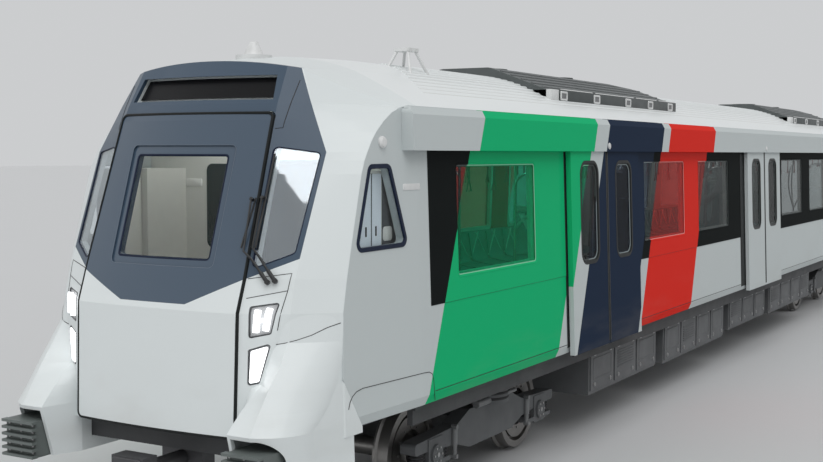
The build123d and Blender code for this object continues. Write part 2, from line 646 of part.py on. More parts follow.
# Couplers: short emergency coupler under the nose, semi-permanent bar at the rear
COUPLER_HEIGHT = 720.0
SHANK_RADIUS = 58.0
HEAD_HALF = 150.0
DRAFT_GEAR = (200.0, (640.0, 820.0))  # half width, heights
BAR_FLANGE = (130.0, 40.0)   # half width, thickness
front_coupler = fuse([
    tube((0, 620.0, COUPLER_HEIGHT), (0, 60.0, COUPLER_HEIGHT), SHANK_RADIUS),
    block((-HEAD_HALF, HEAD_HALF), (-40.0, 110.0), (COUPLER_HEIGHT - 130.0, COUPLER_HEIGHT + 130.0)),
    block((-DRAFT_GEAR[0], DRAFT_GEAR[0]), (560.0, 700.0), DRAFT_GEAR[1])])
bar_end = REAR_TIP - 5.0
rear_coupler = fuse([
    tube((0, BODY_END - 200.0, COUPLER_HEIGHT), (0, bar_end - 30.0, COUPLER_HEIGHT), SHANK_RADIUS),
    block((-BAR_FLANGE[0], BAR_FLANGE[0]), (bar_end - BAR_FLANGE[1], bar_end),
          (COUPLER_HEIGHT - 110.0, COUPLER_HEIGHT + 110.0)),
    block((-DRAFT_GEAR[0], DRAFT_GEAR[0]), (BODY_END - 300.0, BODY_END - 160.0), DRAFT_GEAR[1])])
BOLT_OFFSETS = (95.0, 75.0)  # across and up from the bar's axis
BOLT_RADIUS = 13.0
bolt_holes = []
for across in (-1, 1):
    for up in (-1, 1):
        x, h = across * BOLT_OFFSETS[0], COUPLER_HEIGHT + up * BOLT_OFFSETS[1]
        bolt_holes.append(tube((x, BODY_END + 200.0, h), (x, bar_end + 50.0, h), BOLT_RADIUS))
save("couplers", front_coupler, rear_coupler.cut(*bolt_holes))

# Roof units
UNIT_LENGTH = 4130.0
UNIT_STARTS = (5200.0, 16000.0)
UNIT_HALF = 950.0
UNIT_SHOULDER = 3700.0
# Columns: station behind the unit's front face, height of its ridge
UNIT_RIDGE = ((0.0, 3946.0), (1800.0, 3975.0), (3500.0, 3940.0), (UNIT_LENGTH, 3885.0))
UNIT_BASE = GUTTER - 40.0
UNIT_SECTION = ((UNIT_HALF, UNIT_BASE), (UNIT_HALF, UNIT_SHOULDER), (300.0, 3942.0), (60.0, 3976.0))


def roof_unit(start):
    ridge = [(start + s, h) for s, h in UNIT_RIDGE]
    side = [(start, UNIT_BASE)] + ridge + [(start + UNIT_LENGTH, UNIT_BASE)]
    unit = across_car(side, -UNIT_HALF, UNIT_HALF)
    unit = unit.intersect(along_car(symmetric(UNIT_SECTION), start - 10.0, start + UNIT_LENGTH + 10.0))
    unit = fuse(solids_of([unit])).cut(saloon_prism(start - 50.0, start + UNIT_LENGTH + 50.0))
    for number in range(FLUTE_COUNT):
        unit = unit.cut(*both(flute(number)))
    return fuse(solids_of([unit]))


save("roof_units", *[roof_unit(start) for start in UNIT_STARTS])

# Roof antennas: a low dome and a four-legged frame
DOME_AT = (-60.0, 1560.0, 3790.0)
DOME_BASE = (150.0, 80.0)    # radius, height
DOME_CONE = (85.0, 35.0, 110.0)
dome_base = Pos(*DOME_AT) * Cylinder(*DOME_BASE)
dome = Pos(DOME_AT[0], DOME_AT[1], DOME_AT[2] + DOME_BASE[1] / 2) * Cone(
    *DOME_CONE, align=(Align.CENTER, Align.CENTER, Align.MIN))
FRAME_AT = (520.0, 3050.0)
FRAME_TOP = 3960.0
FRAME_FOOT = 3700.0
LEG_SPREAD = (150.0, 180.0)
LEG_LEAN = 0.35              # how much of their spread the legs keep at the top
LEG_RADIUS = 14.0
FRAME_PLATE = (160.0, 180.0, 30.0)
frame_legs = []
for side in (-1, 1):
    for end in (-1, 1):
        spread = (side * LEG_SPREAD[0], end * LEG_SPREAD[1])
        foot_at = (FRAME_AT[0] + spread[0], FRAME_AT[1] + spread[1], FRAME_FOOT)
        head_at = (FRAME_AT[0] + spread[0] * LEG_LEAN, FRAME_AT[1] + spread[1] * LEG_LEAN, FRAME_TOP)
        frame_legs.append(tube(foot_at, head_at, LEG_RADIUS))
frame_top = Pos(FRAME_AT[0], FRAME_AT[1], FRAME_TOP) * Box(*FRAME_PLATE)
roof_solid = roof_body()
mast = fuse(frame_legs + [frame_top]).cut(roof_solid)
for number in range(FLUTE_COUNT):
    mast = mast.cut(flute(number))
save("roof_antennas", dome_base.fuse(dome).cut(CAB_SOLID, roof_solid), mast)

# Underfloor cases
# Columns: first station, last station, bottom height
CASES = (
    (5700.0, 7900.0, 430.0),
    (8200.0, 10900.0, 400.0),
    (11200.0, 13300.0, 450.0),
    (13600.0, 16600.0, 420.0),
)
CASE_X = (250.0, 1255.0)
LID_THICK = 14.0
LID_MARGIN = 40.0
LID_WIDTH = 680.0
cases = []
for start, end, bottom in CASES:
    body = block(CASE_X, (start, end), (bottom, FLOOR_UNDERSIDE))
    lids = round((end - start) / LID_WIDTH)
    pitch = (end - start) / lids
    for number in range(lids):
        lid = (start + number * pitch + LID_MARGIN, start + (number + 1) * pitch - LID_MARGIN / 2)
        body = body.fuse(block((CASE_X[1], CASE_X[1] + LID_THICK), lid,
                               (bottom + LID_MARGIN, FLOOR_UNDERSIDE - 3 * LID_MARGIN)))
    cases += both(body)
save("underfloor_cases", *cases)

# Cab partition, lockers and desk
PARTITION = (1690.0, 1740.0)
partition_half = wall_x(FLOOR) - WALL - 25.0
partition = block((-partition_half, partition_half), PARTITION, (FLOOR, CEILING))
partition = partition.intersect(saloon_prism(PARTITION[0], PARTITION[1], drop=60.0, inset=WALL + 5.0))
partition = fuse(solids_of([partition]))
DOOR_PANE = ((-60.0, 600.0), (2000.0, 2950.0))  # x, height
LOCKER_X = (900.0, 1270.0)
LOCKER_FRONT = 1200.0
LOCKER_TOP = 2900.0
door_pane = block(DOOR_PANE[0], PARTITION, DOOR_PANE[1])
lockers = both(block(LOCKER_X, (LOCKER_FRONT, PARTITION[0]), (FLOOR, LOCKER_TOP)))
save("cab_partition", fuse([partition.cut(door_pane)] + lockers))
DESK_HALF = 1050.0
# Columns: station, height
DESK_SIDE = ((440.0, FLOOR), (900.0, FLOOR), (900.0, 1750.0), (820.0, 1880.0), (440.0, 1960.0))
desk = across_car(DESK_SIDE, -DESK_HALF, DESK_HALF)
save("driver_desk", desk.intersect(cab_room(SHELL_THICK + 12.0, 60.0, WALL + 30.0, FLOOR)))

# Seats and grab rails
SEAT_RUNS = ((2250.0, 4650.0), (6720.0, 11300.0), (13420.0, 18000.0), (20120.0, 22200.0))
# Columns: x, height, round a seat shell's section
SEAT_SECTION = ((1332.0, 1500.0), (1325.0, 2000.0), (1290.0, 2000.0), (1230.0, 1600.0), (900.0, 1560.0),
                (890.0, 1510.0), (1000.0, 1480.0))
SEAT_BOX = ((1050.0, 1330.0), (FLOOR, 1500.0))  # x, height
SEAT_BOX_MARGIN = 50.0
RAIL_X = 860.0
RAIL_RADIUS = 17.0
seats = []
rails = []
for start, end in SEAT_RUNS:
    bench = along_car(SEAT_SECTION, start, end)
    box = block(SEAT_BOX[0], (start + SEAT_BOX_MARGIN, end - SEAT_BOX_MARGIN), SEAT_BOX[1])
    seats += both(bench.fuse(box))
    for s in (start, end):
        rails += both(tube((RAIL_X, s, FLOOR), (RAIL_X, s, CEILING), RAIL_RADIUS))
save("seats", *seats)
save("grab_rails", *rails)

# Wipers, parked upright beside the hatch seam
WIPER_PIVOTS = ((845.0, 2100.0), (905.0, 2110.0))  # x, height
WIPER_HALF = 12.0
WIPER_REACH = 700.0
WIPER_LAYER = (-40.0, -8.0)  # depths behind the nose surface
wipers = []
for pivot_x, pivot_h in WIPER_PIVOTS:
    reach = block((pivot_x - WIPER_HALF, pivot_x + WIPER_HALF), (NOSE_FRONT, THROUGH),
                  (pivot_h, pivot_h + WIPER_REACH))
    wipers.append(nose_layer(*WIPER_LAYER, reach))
save("wipers", *wipers)


# Bogies
JOURNAL_RADIUS = 60.0
FIT = 1.5
WHEEL_OUTER = BACK_TO_BACK / 2 + TYRE_WIDTH
BOX_X = (890.0, 1060.0)
FRAME_X = 975.0


WHEEL_INNER = BACK_TO_BACK / 2
FLANGE_RADIUS = WHEEL_RADIUS + FLANGE_DEPTH
AXLE_RADIUS = 85.0
HUB_RADIUS = 130.0
HUB_END = WHEEL_OUTER + 15.0
JOURNAL_END = BOX_X[1] - 20.0
# Half a wheelset's section. Columns: x from the middle, radius.
WHEEL_SECTION = (
    (0.0, 0.0), (0.0, AXLE_RADIUS), (WHEEL_INNER - 20.0, AXLE_RADIUS), (WHEEL_INNER - 20.0, HUB_RADIUS),
    (WHEEL_INNER, HUB_RADIUS), (WHEEL_INNER, FLANGE_RADIUS), (WHEEL_INNER + 20.0, FLANGE_RADIUS),
    (WHEEL_INNER + 34.0, WHEEL_RADIUS), (WHEEL_OUTER, WHEEL_RADIUS - 4.0), (WHEEL_OUTER, 350.0),
    (WHEEL_INNER + 70.0, 330.0), (WHEEL_INNER + 70.0, 150.0), (HUB_END, HUB_RADIUS), (HUB_END, AXLE_RADIUS),
    (BOX_X[0] - 10.0, JOURNAL_RADIUS), (JOURNAL_END, JOURNAL_RADIUS), (JOURNAL_END, 0.0),
)


def wheelset(station):
    """One axle with two wheels."""
    points = [Vector(x, station, AXLE_HEIGHT + r) for x, r in WHEEL_SECTION]
    half = revolve(Face(Wire.make_polygon(points)), axis=Axis((0, station, AXLE_HEIGHT), (1, 0, 0)))
    return half.fuse(mirrored(half))


# Side beam of the bogie frame, (station, height) from its middle
BEAM_VIEW = (
    (-1250.0, 470.0), (-700.0, 430.0), (-450.0, 350.0), (450.0, 350.0), (700.0, 430.0), (1250.0, 470.0),
    (1450.0, 470.0), (1450.0, 570.0), (700.0, 600.0), (450.0, 700.0), (-450.0, 700.0), (-700.0, 600.0),
    (-1450.0, 570.0), (-1450.0, 470.0),
)
BEAM_CORNER = 35.0
BEAM_WIDTH = 150.0
BEAM_TOP = 700.0
TRANSOM_OFFSET = 300.0
TRANSOM_HALF = 75.0
TRANSOM_HEIGHTS = (430.0, 600.0)
LINK_HALF = 220.0            # half width of the box between the transoms
MOTOR_OFFSET = 560.0
MOTOR_RADIUS = 200.0
MOTOR_HEIGHT = 450.0
MOTOR_X = (-360.0, 260.0)
AIR_SPRING = (230.0, 194.0)  # radius, height
AXLE_SPRING = (62.0, 195.0)  # radius, distance from the axle
WING = (265.0, -100.0, -60.0)  # half length, bottom and top from the axle's height
AXLE_BOX = (130.0, -120.0, 150.0)
SPRING_TOP = 475.0
CAP_RADIUS = 92.0
CAP_FACE = BOX_X[1] + 22.0


def box_round_axle(station, half_length, bottom, top):
    return block(BOX_X, (station - half_length, station + half_length),
                 (AXLE_HEIGHT + bottom, AXLE_HEIGHT + top))


def axle_box(station):
    """Box, wings, springs and end cap that carry one end of an axle."""
    parts = [box_round_axle(station, *AXLE_BOX), box_round_axle(station, *WING),
             tube((BOX_X[1] - 1.0, station, AXLE_HEIGHT), (CAP_FACE, station, AXLE_HEIGHT), CAP_RADIUS)]
    radius, distance = AXLE_SPRING
    for s in (station - distance, station + distance):
        parts.append(tube((FRAME_X, s, AXLE_HEIGHT + WING[2] - 1.0), (FRAME_X, s, SPRING_TOP), radius))
    return parts


def bogie_side(centre):
    view = [(centre + s, h) for s, h in BEAM_VIEW]
    pieces = [rounded_across(view, BEAM_CORNER, FRAME_X - BEAM_WIDTH / 2, FRAME_X + BEAM_WIDTH / 2)]
    bores = []
    for axle in (centre - HALF_WHEELBASE, centre + HALF_WHEELBASE):
        pieces += axle_box(axle)
        bores.append(tube((BOX_X[0] - 100.0, axle, AXLE_HEIGHT), (JOURNAL_END + 5.0, axle, AXLE_HEIGHT),
                          JOURNAL_RADIUS + FIT))
    return fuse(pieces).cut(*bores)


def bogie_frame(centre):
    pieces = both(bogie_side(centre))
    for way in (-1, 1):
        transom = centre + way * TRANSOM_OFFSET
        motor = centre + way * MOTOR_OFFSET
        pieces.append(block((-FRAME_X, FRAME_X), (transom - TRANSOM_HALF, transom + TRANSOM_HALF),
                            TRANSOM_HEIGHTS))
        pieces.append(tube((way * MOTOR_X[0], motor, MOTOR_HEIGHT), (way * MOTOR_X[1], motor, MOTOR_HEIGHT),
                           MOTOR_RADIUS))
    pieces.append(block((-LINK_HALF, LINK_HALF), (centre - TRANSOM_OFFSET, centre + TRANSOM_OFFSET),
                        (TRANSOM_HEIGHTS[0] + 20.0, TRANSOM_HEIGHTS[1])))
    radius, height = AIR_SPRING
    pieces += both(tube((FRAME_X, centre, BEAM_TOP), (FRAME_X, centre, BEAM_TOP + height), radius))
    return fuse(pieces).cut(Pos(0, centre, TRANSOM_HEIGHTS[1]) * Cylinder(PIVOT_RADIUS + 6.0, 400.0))


for name, station in zip(("front", "rear"), BOGIE_STATIONS):
    save(f"bogie_{name}", bogie_frame(station))
    for axle_name, axle in (("leading", -HALF_WHEELBASE), ("trailing", HALF_WHEELBASE)):
        save(f"wheelset_{name}_{axle_name}", wheelset(station + axle))
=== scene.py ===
import bpy
import bmesh
import math
from mathutils import Matrix, Vector
from mathutils.bvhtree import BVHTree


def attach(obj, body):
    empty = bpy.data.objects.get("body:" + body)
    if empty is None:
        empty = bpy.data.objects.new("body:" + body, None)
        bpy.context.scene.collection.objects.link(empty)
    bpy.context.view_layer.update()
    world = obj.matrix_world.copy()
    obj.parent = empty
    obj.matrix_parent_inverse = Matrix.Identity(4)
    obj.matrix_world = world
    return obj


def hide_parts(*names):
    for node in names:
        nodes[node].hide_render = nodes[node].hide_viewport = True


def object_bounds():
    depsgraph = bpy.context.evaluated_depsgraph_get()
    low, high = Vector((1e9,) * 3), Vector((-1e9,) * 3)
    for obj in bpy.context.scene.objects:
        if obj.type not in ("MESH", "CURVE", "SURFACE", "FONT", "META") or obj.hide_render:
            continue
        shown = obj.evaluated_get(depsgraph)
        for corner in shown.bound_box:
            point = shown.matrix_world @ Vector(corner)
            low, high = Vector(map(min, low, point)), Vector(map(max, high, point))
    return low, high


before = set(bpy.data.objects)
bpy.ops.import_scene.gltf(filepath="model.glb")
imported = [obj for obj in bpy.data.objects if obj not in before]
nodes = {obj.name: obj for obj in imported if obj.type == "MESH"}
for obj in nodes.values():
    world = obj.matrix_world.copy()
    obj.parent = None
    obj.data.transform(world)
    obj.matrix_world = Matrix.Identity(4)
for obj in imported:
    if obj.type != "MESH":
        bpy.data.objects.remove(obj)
cad_low, cad_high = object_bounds()

# Driving dimensions, metres. Stations run back from the nose datum, heights up from the rail.
RIB_TIP = -0.095
FLANGE_DEPTH = 0.028
HALF_WIDTH = 1.45
LEAN = 0.0362
SILL = 1.05
FLOOR = 1.1
CEILING = 3.23
BODY_END = 22.4
CAB_END = 1.75
TAPER = 0.052
DOORWAYS = (5.665, 12.365, 19.065)
LEAF_WIDTH = 0.985
LEAF_OUT = 0.064
BOGIES = {"front": 3.75, "rear": 18.85}
HALF_WHEELBASE = 1.1
WHEEL_RADIUS = 0.42
SIDES = {"right": 1, "left": -1}


def at(x, station, height):
    """A point in the row frame."""
    return Vector((x, cad_low.y - RIB_TIP + station, cad_low.z + FLANGE_DEPTH + height))


def wall_x(height, out=0.0):
    return HALF_WIDTH - LEAN * (height - SILL) + out


def taper(station):
    """How far the cab's side stands in from the body side."""
    return TAPER * max(0.0, CAB_END - station)


def on_side(sign):
    """Places (station, height, outward) points on a body side."""
    return lambda station, height, out: at(sign * (wall_x(height, out) - taper(station)), station, height)


def on_long_plane(sign, x):
    """Places (station, height, out) points on an upright plane along the car."""
    return lambda station, height, out: at(sign * (x + out), station, height)


def on_cross_plane(station, way=-1):
    """Places (x, height, out) points on an upright plane across the car.

    Out is towards the front, or with way 1 towards the rear."""
    return lambda x, height, out: at(x, station + way * out, height)


# Shader expressions

class Value:
    """A shader socket in a Python expression: each operator adds the Math node that does it."""

    def __init__(self, owner, socket):
        self.owner = owner
        self.socket = socket

    def math(self, operation, *others):
        return self.owner.math(operation, self, *others)

    def __add__(self, other):
        return self.math("ADD", other)

    def __mul__(self, other):
        return self.math("MULTIPLY", other)

    __radd__ = __add__
    __rmul__ = __mul__

    def __sub__(self, other):
        return self.math("SUBTRACT", other)

    def __rsub__(self, other):
        return self.owner.math("SUBTRACT", other, self)

    def __gt__(self, other):
        return self.math("GREATER_THAN", other)

    def __lt__(self, other):
        return self.math("LESS_THAN", other)

    def __abs__(self):
        return self.math("ABSOLUTE")

    def above(self, other):
        """The larger of the two."""
        return self.math("MAXIMUM", other)

    def within(self, low, high):
        """1 between two numbers, else 0."""
        return (self > low) * (self < high)

    def fade(self, low, high):
        """0 at low, 1 at high, smooth between."""
        return self.owner.node("ShaderNodeMapRange", {"interpolation_type": "SMOOTHSTEP"},
                               {"Value": self, "From Min": low, "From Max": high})

    def repeat(self, pitch):
        """Distance from the nearest of lines a pitch apart."""
        return self.math("PINGPONG", pitch / 2)


class NodeTree:
    """An emptied node tree and the few ways in which its nodes are made."""

    def __init__(self, tree):
        self.tree = tree
        self.tree.nodes.clear()

    def node(self, kind, settings=None, inputs=None, out=0):
        """Any node. Its settings are set first, then the values or links of its sockets."""
        made = self.tree.nodes.new(kind)
        for name, value in (settings or {}).items():
            setattr(made, name, value)
        for key, value in (inputs or {}).items():
            if isinstance(value, Value):
                self.tree.links.new(value.socket, made.inputs[key])
            else:
                made.inputs[key].default_value = value
        return Value(self, made.outputs[out]) if made.outputs else None

    def math(self, operation, *values):
        return self.node("ShaderNodeMath", {"operation": operation}, dict(enumerate(values)))

    def blend(self, factor, first, second):
        """A shader between two shaders; factor 0 gives the first."""
        return self.node("ShaderNodeMixShader", {}, {0: factor, 1: first, 2: second})


# The Mix node's sockets for colours, by number, because its names repeat
MIX_FACTOR = 0
MIX_FIRST = 6
MIX_SECOND = 7
MIX_RESULT = 2


class Finish(NodeTree):
    """A material, and the x, station and height of each point on it."""

    def __init__(self, name, slot):
        self.material = bpy.data.materials.new(name)
        self.material.use_nodes = True
        super().__init__(self.material.node_tree)
        self.slot = slot
        self.place = self.node("ShaderNodeTexCoord", out="Object")
        datum = at(0, 0, 0)
        self.x = self.axis("X")
        self.station = self.axis("Y") - datum.y
        self.height = self.axis("Z") - datum.z

    def axis(self, name):
        return self.node("ShaderNodeSeparateXYZ", {}, {0: self.place}, out=name)

    def mix(self, factor, first, second):
        """A colour between two colours; factor 0 gives the first."""
        first, second = (c if isinstance(c, Value) else (*c, 1.0) for c in (first, second))
        return self.node("ShaderNodeMix", {"data_type": "RGBA"},
                         {MIX_FACTOR: factor, MIX_FIRST: first, MIX_SECOND: second}, out=MIX_RESULT)

    def noise(self, scale, detail, stretch=None):
        where = self.place
        if stretch:
            where = self.node("ShaderNodeVectorMath", {"operation": "MULTIPLY"}, {0: where, 1: stretch})
        return self.node("ShaderNodeTexNoise", {}, {"Vector": where, "Scale": scale, "Detail": detail})

    def bump(self, height, distance):
        return self.node("ShaderNodeBump", {}, {"Height": height, "Distance": distance})

    def principled(self, sockets):
        """The surface shader. A colour written as three numbers gets its fourth here."""
        return self.node("ShaderNodeBsdfPrincipled", {}, {
            name: (*value, 1.0) if isinstance(value, tuple) else value for name, value in sockets.items()})

    def done(self, shader):
        self.node("ShaderNodeOutputMaterial", {}, {"Surface": shader})
        return self


# Colours, linear
WHITE = (0.71, 0.755, 0.76)
SIDE_WHITE = (0.55, 0.595, 0.60)
ROOF_WHITE = (0.79, 0.825, 0.83)
SLATE = (0.048, 0.078, 0.118)
NAVY = (0.018, 0.030, 0.058)
GREEN = (0.012, 0.46, 0.18)
RED = (0.72, 0.030, 0.020)
BLACK = (0.010, 0.012, 0.012)
# Sill dust, and also the colour of the painted shade along the roof's flutes
DUST_AND_SHADE = (0.36, 0.33, 0.29)

# Livery: slanted bands on the sides. Columns: first station at the sill, last station, paint, and the tint
# that light takes as it passes through the same colour as film on a pane.
LIVERY = (
    (1.80, 4.40, GREEN, (0.07, 0.77, 0.48)),
    (4.75, 6.55, NAVY, (0.22, 0.27, 0.34)),
    (6.80, 8.70, RED, (0.92, 0.13, 0.11)),
)
LIVERY_SLANT = 0.42


def scaled(colour, by):
    return tuple(c * by for c in colour)


def livery(finish, ground, through_film=False):
    """The ground colour with the slanted bands over it, and where they are."""
    along = finish.station - (finish.height - SILL) * LIVERY_SLANT
    colour = ground
    covered = 0.0
    for first, last, paint, tint in LIVERY:
        band = along.within(first, last)
        colour = finish.mix(band, colour, tint if through_film else paint)
        covered = covered + band
    return colour, covered


DUST_TOP = 1.7
DUST_FULL = 1.0
DUST_COVER = 0.14


def road_dirt(finish, colour):
    """The colour with dust that thickens towards the sill, broken up by noise, and where the dust is."""
    patches = finish.noise(2.2, 6.0, (1.0, 0.35, 1.6))
    dust = (1 - finish.height.fade(DUST_FULL, DUST_TOP)) * patches.fade(0.42, 0.8) * DUST_COVER
    return finish.mix(dust, colour, DUST_AND_SHADE), dust


def orange_peel(finish):
    """The fine waviness of sprayed paint."""
    return finish.bump(finish.noise(95.0, 1.0), 0.00012)


def coach_paint(name, slot, ground, with_livery=False, pattern=None, gloss=0.2, shine=0.25):
    """Coach paint: faint mottling, sill dust, and orange peel under a clear coat as thick as its gloss."""
    finish = Finish(name, slot)
    colour = finish.mix(finish.noise(1.3, 4.0) * 0.12, ground, scaled(ground, 0.8))
    if with_livery:
        colour = livery(finish, colour)[0]
    if pattern:
        colour = pattern(finish, colour)
    colour, dust = road_dirt(finish, colour)
    wear = finish.noise(14.0, 5.0)
    return finish.done(finish.principled({
        "Base Color": colour, "Roughness": 0.3 + wear * 0.1 + dust,
        "Coat Weight": (gloss - dust * 0.5).above(0.0), "Coat Roughness": 0.08,
        "Specular IOR Level": shine, "Normal": orange_peel(finish)}))


# Where the slate of the mask ends on the front hatch: level near the middle, then rising to the sides
HATCH_EDGE = 1.943
HATCH_EDGE_HALF = 0.308
HATCH_EDGE_SLOPE = 0.428


def hatch_colours(finish, colour):
    edge = (abs(finish.x) - HATCH_EDGE_HALF).above(0.0) * HATCH_EDGE_SLOPE + HATCH_EDGE
    return finish.mix(finish.height > edge, colour, SLATE)


# The roof's flutes: x of the outermost, how far in they go, pitch, where the outermost starts, how much
# further back they start for each metre inwards, and the strip of painted shade beside each, with its share
# of the dust-and-shade colour
FLUTES_OUT = 1.1
FLUTES_WIDTH = 1.0
FLUTE_PITCH = 0.075
FLUTES_START = 2.32
FLUTES_SWEEP = 0.07 / FLUTE_PITCH
FLUTE_SHADE_STRIP = (0.008, 0.019)
FLUTE_SHADE_SHARE = 0.42


def roof_colours(finish, colour):
    """Painted shade along the foot of each flute: a strip there is darkened towards the dust-and-shade
    colour.
    """
    inward = FLUTES_OUT - abs(finish.x)
    fluted = (finish.station > inward * FLUTES_SWEEP + FLUTES_START) * inward.within(-0.03, FLUTES_WIDTH)
    flute_shade = inward.repeat(FLUTE_PITCH).within(*FLUTE_SHADE_STRIP) * fluted
    return finish.mix(flute_shade * FLUTE_SHADE_SHARE, colour, DUST_AND_SHADE)


def black_band(name, slot, ground=BLACK, pale=0.0):
    """The dark band round the saloon windows, with the livery over it, paled by a share where it is a
    painted highlight on the edges round the panes.
    """
    finish = Finish(name, slot)
    mottled = finish.mix(finish.noise(3.0, 3.0) * 0.5, ground, scaled(ground, 1.4))
    colour, covered = livery(finish, mottled)
    return finish.done(finish.principled({
        # Painted highlight: where pale is set, the livery is mixed towards a pale tint by that share
        "Base Color": finish.mix(covered * pale, colour, (0.7, 0.8, 0.78)),
        "Roughness": 0.16 + finish.noise(20.0, 4.0) * 0.12,
        "Coat Weight": covered * 0.03 + 0.05, "Coat Roughness": 0.06,
        "Specular IOR Level": 0.0, "Normal": orange_peel(finish)}))


# How far out the nose's quarter panes reach, and the share of what is behind a pane that the livery's film
# hides
QUARTER_PANE_REACH = 1.15
FILM_COVER = 0.1


def pane_glass(name, slot, tint, with_livery=False, bend=1.15, mirror=0.0):
    """Glazing. The livery lies on it as see-through film, and the quarter panes mirror by a share."""
    finish = Finish(name, slot)
    smear = finish.noise(6.0, 5.0, (1.0, 1.0, 0.4)).fade(0.45, 0.85)
    ground = finish.mix(smear * 0.2, tint, scaled(tint, 0.9))
    shader = finish.principled({
        "Base Color": livery(finish, ground, through_film=True)[0] if with_livery else ground,
        "Roughness": smear * 0.02, "Transmission Weight": 1.0, "IOR": bend, "Specular IOR Level": 0.3})
    if mirror:
        sheet = finish.principled({
            "Base Color": (0.82, 0.87, 0.92), "Metallic": 1.0, "Roughness": 0.02 + smear * 0.03})
        shader = finish.blend((abs(finish.x) < QUARTER_PANE_REACH) * mirror, shader, sheet)
    if with_livery:
        paint, covered = livery(finish, ground)
        film = finish.principled({
            "Base Color": paint, "Roughness": 0.2 + smear * 0.1, "Specular IOR Level": 0.0})
        shader = finish.blend(covered * FILM_COVER, shader, film)
    return finish.done(shader)


def plain(name, slot, colour, rough=0.5, metal=0.0, grain=40.0, depth=0.0003, spread=0.25, shine=0.5):
    """A moulded, cast or rolled surface: colour and gloss vary, with a fine grain."""
    finish = Finish(name, slot)
    patches = finish.noise(grain / 8, 4.0)
    fine_grain = finish.noise(grain, 3.0)
    return finish.done(finish.principled({
        "Base Color": finish.mix(patches.fade(0.3, 0.75) * spread, colour, scaled(colour, 0.55)),
        "Roughness": rough * 0.8 + patches * rough * 0.4, "Metallic": metal,
        "Specular IOR Level": shine, "Normal": finish.bump(fine_grain, depth)}))


LENS_FLUTE = 0.012


def glowing(name, slot, colour, strength):
    """A lamp's lens, lit, with the fine flutes of its optic."""
    finish = Finish(name, slot)
    flutes = finish.height.repeat(LENS_FLUTE) * (1 / LENS_FLUTE) + 0.5
    return finish.done(finish.principled({
        "Base Color": (0.6, 0.6, 0.6), "Roughness": 0.15, "Emission Strength": strength,
        "Emission Color": finish.mix(flutes, (0.5, 0.55, 0.6), colour),
        "Normal": finish.bump(flutes, 0.001)}))


MATRIX_PITCH = 0.012


def led_screen(name, slot):
    """An unlit matrix of lamps behind dark glass."""
    finish = Finish(name, slot)
    across, up = (axis.repeat(MATRIX_PITCH) for axis in (finish.x, finish.height))
    lamp = 1 - (across * across + up * up).math("SQRT").fade(0.002, 0.0035)
    return finish.done(finish.principled({
        "Base Color": finish.mix(lamp, (0.004, 0.004, 0.005), (0.012, 0.013, 0.014)),
        "Roughness": 0.3 + lamp * 0.2, "Specular IOR Level": 0.15, "Normal": finish.bump(lamp, 0.0003)}))


